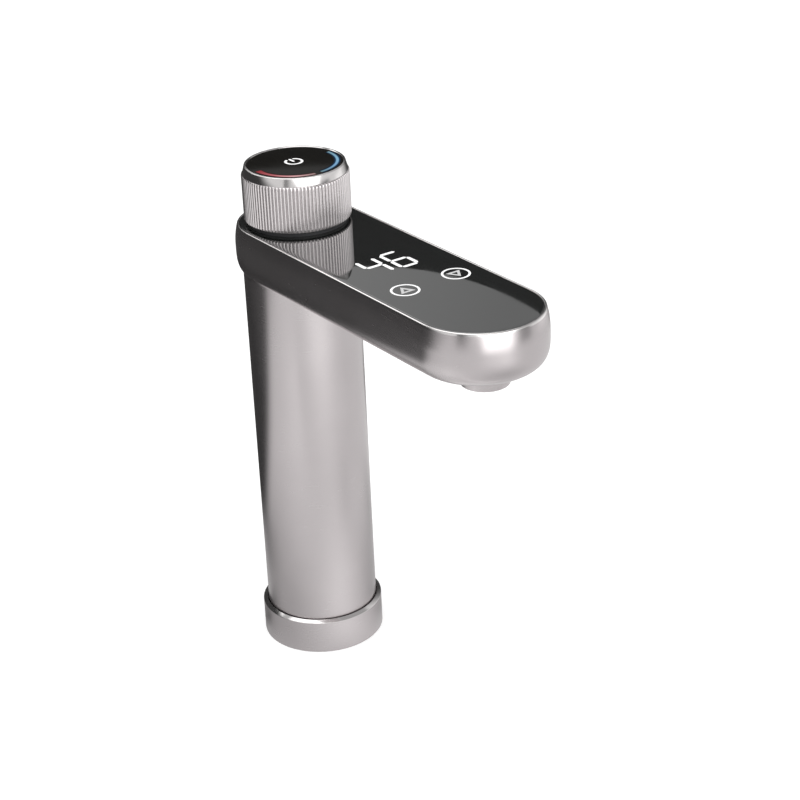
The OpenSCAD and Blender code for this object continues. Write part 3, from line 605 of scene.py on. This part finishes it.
def makeSpring():
    # a round wire carried along a helix and closed at both ends, which the button presses together
    s = spring
    radius, bottom, top = extent("return_spring")
    coilR = radius - s["wireR"]
    climb = np.linspace(0, 1, s["turns"] * s["perTurn"] + 1)[:, None]
    turn, around = 2 * np.pi * s["turns"] * climb, np.linspace(0, 2 * np.pi, s["around"], endpoint=False)
    r = coilR + s["wireR"] * np.cos(around)
    z = bottom + s["wireR"] * (1 + np.sin(around)) + (top - bottom - 2 * s["wireR"]) * climb
    wire = inSpace(r, turn, z)
    ends = wire[[0, -1]].mean(1, keepdims=True) + 0 * wire[[0, -1]]
    piece = makePiece("returnSpring", [sheet(np.concatenate([ends[:1], wire, ends[1:]]))], "column",
                      "spring_steel", "return_spring", crease=60)
    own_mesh(piece)


makeDial()
makeButton()
makeSpring()
print("dial and button made")


# Fixing under the worktop and the inlet, with their threads

fixing = {"pitch": 1.5, "threadDepth": 0.92, "leadIn": 6, "plainFrom": -2, "runOut": 0.5, "bore": 12.5,
          "spigot": 14.4, "spigotTop": 16, "spigotEdge": 0.3, "innerEdge": 0.2, "edge": 0.4,
          "washerBore": 16.1, "nutFlats": 46, "nutChamfer": (1.6, 1.0), "nutMouth": 0.7, "nutGap": 0.02}
inlet = {"flats": 19, "chamfer": (1.0, 0.6), "hexHigh": 6, "pitch": 1.337, "threadDepth": 0.86,
         "thread": 8.33, "bore": 4, "boreMouth": 0.4, "socket": 5, "socketMouth": 0.3, "edge": 0.5}
# a thread's four rows to a pitch: how far up each lies, and how far out between root and crest
threadRows = {"up": np.array([0, 0.17, 0.52, 0.65]), "out": np.array([0, 0, 1, 1])}


def threadSheet(root, crest, pitch, bottom, top, count=96):
    # a ridge that climbs one pitch a turn
    row = np.arange(-4, 4 * (math.ceil((top - bottom) / pitch) + 1) + 1)
    turn = np.linspace(0, 2 * np.pi, count + 1)
    z = bottom + ((row // 4 + threadRows["up"][row % 4])[:, None] + turn / (2 * np.pi)) * pitch
    z = np.clip(z, bottom, top)
    # it grows out of the root over the first pitch and goes back to it over the last
    grown = np.clip((z - bottom) / pitch, 0, 1) * np.clip((top - z) / pitch, 0, 1)
    r = root + (crest - root) * threadRows["out"][row % 4][:, None] * grown
    return sheet(inSpace(r, turn, z), closed=False)


def hexed(profile, flats, count, ring=True):
    # turned about the upright axis, then held within the six flats, a corner at angle 0
    points = revolved(profile, count, ring=ring)
    turn = np.linspace(0, 2 * np.pi, count, endpoint=False)
    outline = flats / 2 / np.cos(turn % (np.pi / 3) - np.pi / 6)
    radius = np.maximum(np.hypot(points[..., 0], points[..., 1]), 1e-6)
    points[..., :2] *= np.minimum(1, outline / radius)[..., None]
    return points


def makeFixing():
    f = fixing
    crest, bottom, top = extent("threaded_shank")
    root, shoulder = crest - f["threadDepth"], high("deck_gasket", "z")
    start, plainFrom, fine = bottom + f["leadIn"], f["plainFrom"], f["innerEdge"]
    profile = rounded([
        (root, start, 0), (root, bottom, f["edge"]), (f["bore"], bottom, 0),
        (f["bore"], f["spigotTop"], fine), (f["spigot"], f["spigotTop"], f["spigotEdge"]),
        (f["spigot"], shoulder, 0), (crest, shoulder, fine), (crest, plainFrom + f["runOut"], 0),
        (root, plainFrom, 0)])
    # the corners at the ends of this open profile aren't rounded, so they meet the thread
    makePiece("threadedShank", [sheet(revolved(profile, 96, ring=False)),
                                threadSheet(root, crest, f["pitch"], start, plainFrom)],
              "base", "cast_brass", "threaded_shank")
    for node, name, slotName in (("rubber_washer", "rubberWasher", "black_rubber"),
                                 ("steel_washer", "steelWasher", "spring_steel")):
        radius, bottom, top = extent(node)
        makePiece(name, [sheet(revolved(rounded([
            (radius, bottom, f["edge"]), (radius, top, f["edge"]), (f["washerBore"], top, fine),
            (f["washerBore"], bottom, fine)])))], "base", slotName, node)
    (bottom, top), corner = extent("lock_nut")[1:], f["nutFlats"] / math.sqrt(3)
    (run, rise), mouth, bore = f["nutChamfer"], f["nutMouth"], crest + f["nutGap"]
    makePiece("lockNut", [sheet(hexed(np.array([
        (crest + mouth, bottom), (corner - run, bottom), (corner - run / 2, bottom + rise / 2),
        (corner, bottom + rise), (corner, top - rise), (corner - run / 2, top - rise / 2),
        (corner - run, top), (crest + mouth, top), (bore, top - mouth), (bore, bottom + mouth)]),
        f["nutFlats"], 192))],
        "base", "cast_brass", "lock_nut", crease=20)
    i = inlet
    (bottom, top), corner = extent("inlet_nipple")[1:], i["flats"] / math.sqrt(3)
    (run, rise), root, flange = i["chamfer"], i["thread"] - i["threadDepth"], top - i["hexHigh"]
    makePiece("inletNipple", [sheet(hexed(np.array([
        (root, flange), (corner - run, flange), (corner, flange + rise), (corner, top - rise),
        (corner - run, top), (i["socket"] + i["socketMouth"], top), (i["socket"], top - i["socketMouth"]),
        (i["socket"], flange), (i["bore"], flange), (i["bore"], bottom + i["boreMouth"]),
        (i["bore"] + i["boreMouth"], bottom), (root - i["edge"], bottom), (root, bottom + i["edge"])]),
        i["flats"], 96, ring=False)), threadSheet(root, i["thread"], i["pitch"], bottom + i["edge"], flange)],
        "base", "cast_brass", "inlet_nipple", crease=20)


makeFixing()
print("fixing and inlet made")


# Signs: thin printed bars, rings and arcs that lie on the glass

display = {"centreX": 62.3, "centreY": -0.6, "halfHeight": 7.55, "digitHalf": 3.65, "digitGap": 11.2,
           "bar": 1.55, "mitre": 0.2}
keys = {"places": ((88.2, 12.7, 1), (88.8, -11.0, -1)), "ring": 5.6, "stroke": 0.88,
        "base": 6.3, "height": 5.4, "ahead": 0.6, "outline": 1.05}
power = {"x": -0.97, "y": 0.27, "ring": 3.8, "stroke": 0.98, "gapHalf": 24, "barFrom": -3.7, "barTo": 0.4}
ink = {"white": (0.88, 0.3), "grey": (0.55, 0.12), "darker": 0.96, "cloudPerMetre": 900, "roughness": 0.5}
plate = {"rise": 0.03, "sunk": 0.02}  # a sign's upper and lower face, over and under the glass
# the two lit arcs: angles in degrees from the neutral end to the full end, and how they widen there
arcs = {"x": 0.0, "y": 0.45, "halo": 1.6, "haloFrom": 0.5, "widensFrom": 0.75, "softEdge": (0.6, 1.4),
        "coldArc": {"from": 4, "to": 96, "radius": 16.65, "halfWidth": 0.55, "wider": 0.0,
                    "halo": (0.0, 0.032, 0.09),
                    "colours": ((0.15, 0.25, 0.27), (0.18, 0.36, 0.58), (0.22, 0.44, 0.62),
                                (0.18, 0.31, 0.36))},
        "hotArc": {"from": -6, "to": -92, "radius": 17.1, "halfWidth": 0.72, "wider": 0.45,
                   "halo": (0.13, 0.012, 0.018),
                   "colours": ((0.27, 0.20, 0.20), (0.70, 0.40, 0.41), (0.47, 0.13, 0.145),
                               (0.28, 0.02, 0.03))}}


def lifted(rows, z):  # outlines in plan, each at its own height over z
    return np.stack([np.column_stack([plan, z + height + 0 * plan[:, 0]]) for plan, height in rows])


def flatSheet(outline, z):
    # a thin closed plate over a convex outline: its rows run from the middle to the edge, down and back
    outline = np.asarray(outline, float)
    middle = outline.mean(0) + 0 * outline
    up, down = plate["rise"], -plate["sunk"]
    return sheet(lifted([(middle, up), (outline, up), (outline, down), (middle, down)], z))


def arcSheets(x, y, inner, outer, start, end, z, steps=48):
    # a bent bar of constant width about (x, y), angles in degrees, closed or with flat ends
    turn = np.radians(np.linspace(start, end, steps + 1))
    whole = abs(end - start) >= 360
    if whole:
        turn = turn[:-1]
    up, down = plate["rise"], -plate["sunk"]
    section = [(inner, down), (outer, down), (outer, up), (inner, up), (inner, down)]
    rows = lifted([(onPlan(r, turn, x, y), h) for r, h in section], z)
    if whole:
        return [sheet(rows)]
    caps = [np.stack([rows[[0, 1], k], rows[[3, 2], k]]) for k in (0, -1)]
    return [sheet(rows, False)] + [sheet(cap, False) for cap in caps]


def barOutline(ax, ay, bx, by, width, mitre):
    # a bar from a to b with pointed ends, as on a seven-segment display
    a, b = np.array([ax, ay], float), np.array([bx, by], float)
    along = (b - a) / np.linalg.norm(b - a)
    across = np.array([-along[1], along[0]]) * width / 2
    a, b = a + along * mitre, b - along * mitre
    inset = along * width / 2
    return [a, a + inset + across, b - inset + across, b, b - inset - across, a + inset - across]


def triangleSheet(x, y, way, z):
    # an outlined triangle whose inner outline is the outer one drawn in by a constant stroke
    tall, wide, ahead = keys["height"], keys["base"], keys["ahead"]
    corners = np.array([(ahead * tall, 0), ((ahead - 1) * tall, wide / 2), ((ahead - 1) * tall, -wide / 2)])
    sides = np.linalg.norm(corners - np.roll(corners, -1, 0), axis=1)
    centre = (np.roll(sides, -1)[:, None] * corners).sum(0) / sides.sum()
    inRadius = wide * tall / sides.sum()
    inner = centre + (corners - centre) * (1 - keys["outline"] / inRadius)
    inner, outer = ([x, y] + way * form for form in (inner, corners))
    up, down = plate["rise"], -plate["sunk"]
    return sheet(lifted([(inner, down), (outer, down), (outer, up), (inner, up), (inner, down)], z), finish=1)


def signInk(name, level, glow):
    material, tree, shader = newMaterial(name)
    clouds = objectNoise(tree, ink["cloudPerMetre"], detail=2.0)
    tint(tree, shader, clouds, (ink["darker"] * level,) * 3, (level,) * 3)
    fill(tree, shader, Roughness=ink["roughness"], Emission_Color=(1, 1, 1, 1), Emission_Strength=glow)
    return material


def arcGlow(name, arc):
    # the glass itself, lit from below along an arc: bright within the arc's width, and a dim halo beside it
    material, tree, shader = newMaterial(name + "Glow")
    fill(tree, shader, IOR=buttonGlass["reflectIndex"], Roughness=sum(buttonGlass["roughness"]) / 2,
         Base_Color=(*buttonGlass["colour"], 1))
    centred = addNode(tree, "ShaderNodeMapping", Vector=objectPlace(tree),
                      Location=(-arcs["x"] * mm, -arcs["y"] * mm, 0)).outputs["Vector"]
    axes = addNode(tree, "ShaderNodeSeparateXYZ", Vector=centred).outputs

    def scalar(operation, *values):
        return addNode(tree, "ShaderNodeMath", {"operation": operation}, dict(enumerate(values))).outputs[0]

    def ramp(value, start, end, first, last):
        return addNode(tree, "ShaderNodeMapRange", {"interpolation_type": "SMOOTHSTEP"}, Value=value,
                       From_Min=start, From_Max=end, To_Min=first, To_Max=last).outputs["Result"]

    away = scalar("ABSOLUTE", scalar("SUBTRACT", fromAxis(tree, centred), arc["radius"] * mm))
    angle = scalar("ARCTAN2", axes["Y"], axes["X"])
    along = addNode(tree, "ShaderNodeMapRange", Value=angle, From_Min=math.radians(arc["from"]),
                    From_Max=math.radians(arc["to"])).outputs["Result"]
    narrow, wide = (half * mm for half in (arc["halfWidth"], arc["halfWidth"] + arc["wider"]))
    width = ramp(along, arcs["widensFrom"], 1.0, narrow, wide)
    inArc = ramp(scalar("DIVIDE", away, width), *arcs["softEdge"], 1.0, 0.0)
    inHalo = ramp(away, arcs["haloFrom"] * mm, arcs["halo"] * mm, 1.0, 0.0)
    colours = addNode(tree, "ShaderNodeValToRGB", Fac=along)
    stops, last = colours.color_ramp.elements, len(arc["colours"]) - 1
    for number, colour in enumerate(arc["colours"]):
        stop = stops[number] if number < 2 else stops.new(number / last)
        stop.position, stop.color = number / last, (*colour, 1)
    beside = mixColours(tree, inHalo, (0, 0, 0, 1), (*arc["halo"], 1))
    glow = mixColours(tree, inArc, beside, colours.outputs["Color"])
    fill(tree, shader, Emission_Color=glow, Emission_Strength=1.0)
    return material


def makeSigns():
    top, d = high("glass_panel", "z"), display
    white, grey = signInk("signWhite", *ink["white"]), signInk("signGrey", *ink["grey"])
    # text runs along +Y and stands along -X; a segment's ends are (along height, along width) in halves
    segments = {"a": (1, -1, 1, 1), "g": (0, -1, 0, 1), "d": (-1, -1, -1, 1),
                "f": (1, -1, 0, -1), "e": (0, -1, -1, -1), "b": (1, 1, 0, 1), "c": (0, 1, -1, 1)}
    digits = []
    for side, lit in ((-1, "fgbc"), (1, "afgedc")):  # a 4 and a 6
        centreY = d["centreY"] + side * d["digitGap"] / 2
        for key in lit:
            h0, w0, h1, w1 = segments[key]
            digits.append(flatSheet(barOutline(
                d["centreX"] - h0 * d["halfHeight"], centreY + w0 * d["digitHalf"],
                d["centreX"] - h1 * d["halfHeight"], centreY + w1 * d["digitHalf"],
                d["bar"], d["mitre"]), top))
    makePiece("displayDigits", digits, "column", "display_white", materials=[white])
    signs = []
    for x, y, way in keys["places"]:
        signs += arcSheets(x, y, keys["ring"] - keys["stroke"], keys["ring"], 0, 360, top, steps=96)
        signs.append(triangleSheet(x, y, way, top))
    makePiece("touchSigns", signs, "column", "display_white", materials=[white, grey])
    top, p = buttonTop(), power
    icon = arcSheets(p["x"], p["y"], p["ring"] - p["stroke"], p["ring"],
                     180 + p["gapHalf"], 540 - p["gapHalf"], top)
    icon.append(flatSheet(barOutline(p["x"] + p["barFrom"], p["y"], p["x"] + p["barTo"], p["y"],
                                     p["stroke"], 0), top))
    makePiece("powerSign", icon, "button", "display_white", materials=[white])
    for name in ("coldArc", "hotArc"):
        arc = arcs[name]
        inner, outer = arc["radius"] - arcs["halo"], arc["radius"] + arcs["halo"]
        bar = arcSheets(arcs["x"], arcs["y"], inner, outer, arc["from"], arc["to"], top, steps=96)
        makePiece(name, bar, "button", "display_white", materials=[arcGlow(name, arc)])


makeSigns()
print("signs made")


# Studio: pale floor, world, lamps, cards that only reflections see, and the camera

studio = {"worldLight": 0.8, "floorColour": 0.8, "floorRoughness": 0.9, "floorLift": 0.45, "floorHalf": 15000,
          "softbox": {"place": (1000, -100, 330), "aim": (0, 0, 150), "size": (950, 480), "watts": 3.6},
          "topLamp": {"place": (200, -300, 1300), "aim": (0, 0, 100), "size": (700, 700), "watts": 3.0}}
cameraPlace = {"target": (41.34, 17.25, 118.05), "distance": 816.26, "azimuth": 34.56, "elevation": 25.67,
               "roll": -2.49, "lens": 90.493, "sensor": 36, "clip": (0.01, 100)}
# the room that the metal mirrors, as light levels where 1 is white: a dark wall behind on the left,
# greyer above its curved top edge, a dark mat before it, a ceiling, and a floor with soft patches of painted
# light and painted shadow
wall = {"radius": 440, "from": 84, "fullFrom": 118, "top": 500, "dark": 0.045, "foot": 0.025, "footTop": 150,
        "grey": (0.45, 0.64), "greyTurns": (131, 149), "edge": 386.5, "edgeFrom": 145,
        "edgeCurve": (0.0008, 0.000008), "edgeMost": 470, "rearFrom": 172, "rearFull": 190, "rearEdge": 480,
        "columns": 151, "rows": 24,
        # its far end leans: at these heights it is fully dark up to the first turn, and gone at the second
        "endHeights": (40, 110, 190, 240, 290), "endFull": (249, 249, 250, 243, 236),
        "end": (281, 290, 303, 285, 268)}
mat = {"right": -90, "bulge": 50, "bulgeAt": -25, "bulgeSize": 45, "flare": 0.12, "flareFrom": -200,
       "full": -158, "fullBulge": 22, "fullSize": 90, "back": 300, "fullBack": 200, "dark": 0.04,
       "front": 0.028, "frontFrom": -120, "frontFull": -260}
# the floor's patches are painted pools of light and painted shadow; the small dark ones beside the base are
# the part's own shadow, painted
floorCard = {"x": (-440, 680), "y": (-520, 480), "z": 0.3, "counts": (113, 101), "level": 0.82, "patches": (
    {"at": (-45, -60), "size": 75, "gain": -0.25}, {"at": (75, 5), "size": 48, "gain": 0.22},
    {"at": (300, 30), "size": 130, "gain": -0.2}, {"at": (640, 20), "size": 130, "gain": 0.65},
    {"at": (90, -220), "size": 110, "gain": 0.08}, {"at": (135, 62), "size": 35, "gain": -0.14},
    {"at": (5, -38), "size": 32, "gain": -0.15}, {"at": (8, 52), "size": 45, "gain": -0.25},
    {"at": (140, -230), "size": 80, "gain": 0.16}, {"at": (600, 140), "size": 95, "gain": 0.32},
    {"at": (-24, -26), "size": 12, "gain": -0.45}, {"at": (12, 32), "size": 12, "gain": -0.18},
    {"at": (-25, 118), "size": 45, "gain": -0.25},
    {"at": (40, -2), "size": 18, "gain": 0.15}, {"at": (-74, -46), "size": 38, "gain": -0.27})}
lowBoard = {"x": 150, "y": (-190, 130), "z": (0.5, 106), "counts": (39, 12), "level": 0.84, "gain": 0.32,
            "at": (-20, 95), "size": (70, 60)}
# each patch of the front wall and the ceiling: from nothing over full to full and nothing again, both ways
frontWall = {"radius": 600, "turns": (-100, 110), "z": (0.5, 500), "counts": (211, 41),
             "widenFrom": 190, "patches": (
    {"turn": (-31, -20, 7, 19), "z": (-40, 140, 400, 480), "gain": 1.75, "widen": 0.003},
    {"turn": (-78, -68, -54, -39), "z": (0, 220, 360, 420), "gain": -0.6},
    {"turn": (17, 28, 36, 48), "z": (30, 130, 200, 260), "gain": -0.55},
    {"turn": (52, 70, 85, 100), "z": (30, 90, 180, 240), "gain": 0.3})}
ceiling = {"z": 900, "half": 1100, "count": 91, "dim": 0.4, "bright": 1.7, "patches": (
    {"x": (-470, -380, 450, 540), "y": (-540, -450, 100, 190)},
    {"x": (-1300, -1200, -690, -600), "y": (-540, -450, 450, 540)},
    {"x": (-740, -650, -200, -110), "y": (60, 150, 480, 570)})}


def stageMesh(name, points, material):
    points = np.asarray(points, float)
    rows, cols = points.shape[:2]
    quads = quadGrid(rows, cols, False).reshape(-1, 4)
    mesh = bpy.data.meshes.new(name)
    mesh.from_pydata((points.reshape(-1, 3) * mm).tolist(), [], quads.tolist())
    mesh.materials.append(material)
    thing = addObject(name, mesh)
    return thing


def card(name, points, level):
    # paper that only mirrored rays meet, so it casts no shadow; its light is set point by point
    material, tree, shader = newMaterial(name + "Paper")
    light = addNode(tree, "ShaderNodeAttribute", {"attribute_name": "level"}).outputs["Fac"]
    glow = addNode(tree, "ShaderNodeEmission", Color=(1, 1, 1, 1), Strength=light)
    fill(tree, tree.nodes["Material Output"], Surface=glow.outputs[0])
    thing = stageMesh(name, points, material)
    levels = np.ascontiguousarray(np.broadcast_to(level, points.shape[:2]), np.float32)
    thing.data.attributes.new("level", "FLOAT", "POINT").data.foreach_set("value", levels.ravel())
    thing.visible_camera = thing.visible_diffuse = thing.visible_shadow = False
    thing.visible_transmission = thing.visible_volume_scatter = False


def soft(value, start, end):  # 0 at start, 1 at end, with an S-shaped rise between
    share = np.clip((value - start) / (end - start), 0, 1)
    return share * share * (3 - 2 * share)


def window(value, edges):  # 0 before the first edge, 1 between the middle ones, 0 after the last
    return soft(value, edges[0], edges[1]) * soft(value, edges[3], edges[2])


def cardGrid(first, second, counts):  # two ranges as a grid of points
    return np.meshgrid(np.linspace(*first, counts[0]), np.linspace(*second, counts[1]), indexing="ij")


def arcRows(turn, radius, heights):
    return np.stack([inSpace(radius, np.radians(turn), h) for h in heights])


def makeCards():
    world = studio["worldLight"]
    turn = np.linspace(wall["from"], max(wall["end"]), wall["columns"])
    along = np.radians(np.maximum(wall["edgeFrom"] - turn, 0)) * wall["radius"]
    square, cube = wall["edgeCurve"]
    edge = np.minimum(wall["edge"] + square * along ** 2 + cube * along ** 3, wall["edgeMost"])
    edge = edge + (wall["rearEdge"] - edge) * soft(turn, wall["rearFrom"], wall["rearFull"])
    darkHeights = [edge * k / wall["rows"] for k in range(wall["rows"] + 1)]
    for name, heights in (("dark", darkHeights), ("grey", (edge, wall["top"]))):
        points = arcRows(turn, wall["radius"], heights)
        z = points[..., 2]
        gone, full = (np.interp(z, wall["endHeights"], wall[key]) for key in ("end", "endFull"))
        within = soft(turn, wall["from"], wall["fullFrom"]) * soft(turn, gone, full)
        level = wall["dark"] + wall["foot"] * soft(z, wall["footTop"], 0)
        if name == "grey":
            level = np.interp(turn, wall["greyTurns"], wall["grey"])
        card(name + "Wall", points, world + (level - world) * within)
    x, y = cardGrid(floorCard["x"], floorCard["y"], floorCard["counts"])
    # painted light and painted shadow on the mirrored floor: each patch adds to or takes from its level
    level = floorCard["level"] + sum(
        p["gain"] * np.exp(-((x - p["at"][0]) ** 2 + (y - p["at"][1]) ** 2) / p["size"] ** 2)
        for p in floorCard["patches"])
    right = mat["right"] + mat["bulge"] * np.exp(-((y - mat["bulgeAt"]) / mat["bulgeSize"]) ** 2) \
        + mat["flare"] * np.maximum(mat["flareFrom"] - y, 0)
    full = mat["full"] + mat["fullBulge"] * np.exp(-(y / mat["fullSize"]) ** 2)
    onMat = soft(x, right, full) * soft(y, mat["back"], mat["fullBack"])
    matLevel = mat["dark"] + mat["front"] * soft(y, mat["frontFrom"], mat["frontFull"])
    card("mirroredFloorLightAndShadow", np.stack([x, y, floorCard["z"] + 0 * x], -1), level + (matLevel - level) * onMat)
    b = lowBoard
    y, z = cardGrid(b["y"], b["z"], b["counts"])
    near = np.exp(-((y - b["at"][0]) / b["size"][0]) ** 2 - ((z - b["at"][1]) / b["size"][1]) ** 2)
    card("lowBoard", np.stack([b["x"] + 0 * y, y, z], -1), b["level"] + b["gain"] * near)
    f = frontWall
    turn, heights = (np.linspace(*ends, count) for ends, count in zip((f["turns"], f["z"]), f["counts"]))
    lit = 0
    for p in f["patches"]:  # a patch may widen with the height above the spout
        middle = (p["turn"][1] + p["turn"][2]) / 2
        wider = 1 + p.get("widen", 0) * np.maximum(heights[:, None] - f["widenFrom"], 0)
        across = window(middle + (turn - middle) / wider, p["turn"])
        lit = lit + p["gain"] * window(heights, p["z"])[:, None] * across
    card("frontWall", arcRows(turn, f["radius"], heights), world + lit)
    c = ceiling
    x, y = cardGrid((-c["half"], c["half"]), (-c["half"], c["half"]), (c["count"], c["count"]))
    lit = np.minimum(1, sum(window(x, p["x"]) * window(y, p["y"]) for p in c["patches"]))
    card("ceiling", np.stack([x, y, c["z"] + 0 * x], -1), c["dim"] + (c["bright"] - c["dim"]) * lit)


def lamp(name):
    how = studio[name]
    light = bpy.data.lights.new(name, "AREA")
    light.shape, light.energy = "RECTANGLE", how["watts"]
    light.size, light.size_y = (side * mm for side in how["size"])
    thing = addObject(name, light)
    thing.location = Vector(how["place"]) * mm
    thing.rotation_euler = (Vector(how["aim"]) - Vector(how["place"])).to_track_quat("-Z", "Y").to_euler()
    return thing


def makeStudio():
    world = bpy.data.worlds.new("studioWorld")
    bpy.context.scene.world = world
    world.use_nodes = True
    tree = world.node_tree
    light = tree.nodes["Background"]
    fill(tree, light, Color=(1, 1, 1, 1), Strength=studio["worldLight"])
    seen = addNode(tree, "ShaderNodeBackground", Color=(1, 1, 1, 1), Strength=1.0)
    path = addNode(tree, "ShaderNodeLightPath")
    mix = addNode(tree, "ShaderNodeMixShader", None, {1: light.outputs[0], 2: seen.outputs[0]},
                  Fac=path.outputs["Is Camera Ray"])
    fill(tree, tree.nodes["World Output"], Surface=mix.outputs[0])

    material, tree, shader = newMaterial("paleFloor")
    pale = studio["floorColour"]
    fill(tree, shader, Base_Color=(pale, pale, pale, 1), Roughness=studio["floorRoughness"],
         Specular_IOR_Level=0.0)
    # the camera alone sees the floor lifted to white, so its light on the part stays
    seen = addNode(tree, "ShaderNodeLightPath").outputs["Is Camera Ray"]
    lift = addNode(tree, "ShaderNodeMath", {"operation": "MULTIPLY"}, {0: seen, 1: studio["floorLift"]})
    glow = addNode(tree, "ShaderNodeEmission", Color=(1, 1, 1, 1), Strength=lift.outputs[0])
    both = addNode(tree, "ShaderNodeAddShader", None, {0: shader.outputs[0], 1: glow.outputs[0]})
    fill(tree, tree.nodes["Material Output"], Surface=both.outputs[0])
    far = studio["floorHalf"]
    stageMesh("floor", [[(-far, -far, 0), (far, -far, 0)], [(-far, far, 0), (far, far, 0)]], material)
    makeCards()
    lamp("softbox").visible_glossy = False  # the metal mirrors the front wall's bright patch in its place
    lamp("topLamp")


def makeCamera():
    p = cameraPlace
    az, el, roll = (math.radians(p[k]) for k in ("azimuth", "elevation", "roll"))
    back = Vector((math.cos(el) * math.cos(az), -math.cos(el) * math.sin(az), math.sin(el)))
    right = (-back).cross(Vector((0, 0, 1))).normalized()
    up = right.cross(-back)
    right, up = math.cos(roll) * right + math.sin(roll) * up, math.cos(roll) * up - math.sin(roll) * right
    turn = Matrix((right, up, back)).transposed().to_4x4()
    camera = addObject("camera", bpy.data.cameras.new("camera"))
    camera.matrix_world = Matrix.Translation((Vector(p["target"]) + back * p["distance"]) * mm) @ turn
    camera.data.lens, camera.data.sensor_width = p["lens"], p["sensor"]
    camera.data.clip_start, camera.data.clip_end = p["clip"]
    bpy.context.scene.camera = camera


makeStudio()
makeCamera()
bpy.context.scene.view_settings.view_transform = "Standard"
print("studio and camera made")
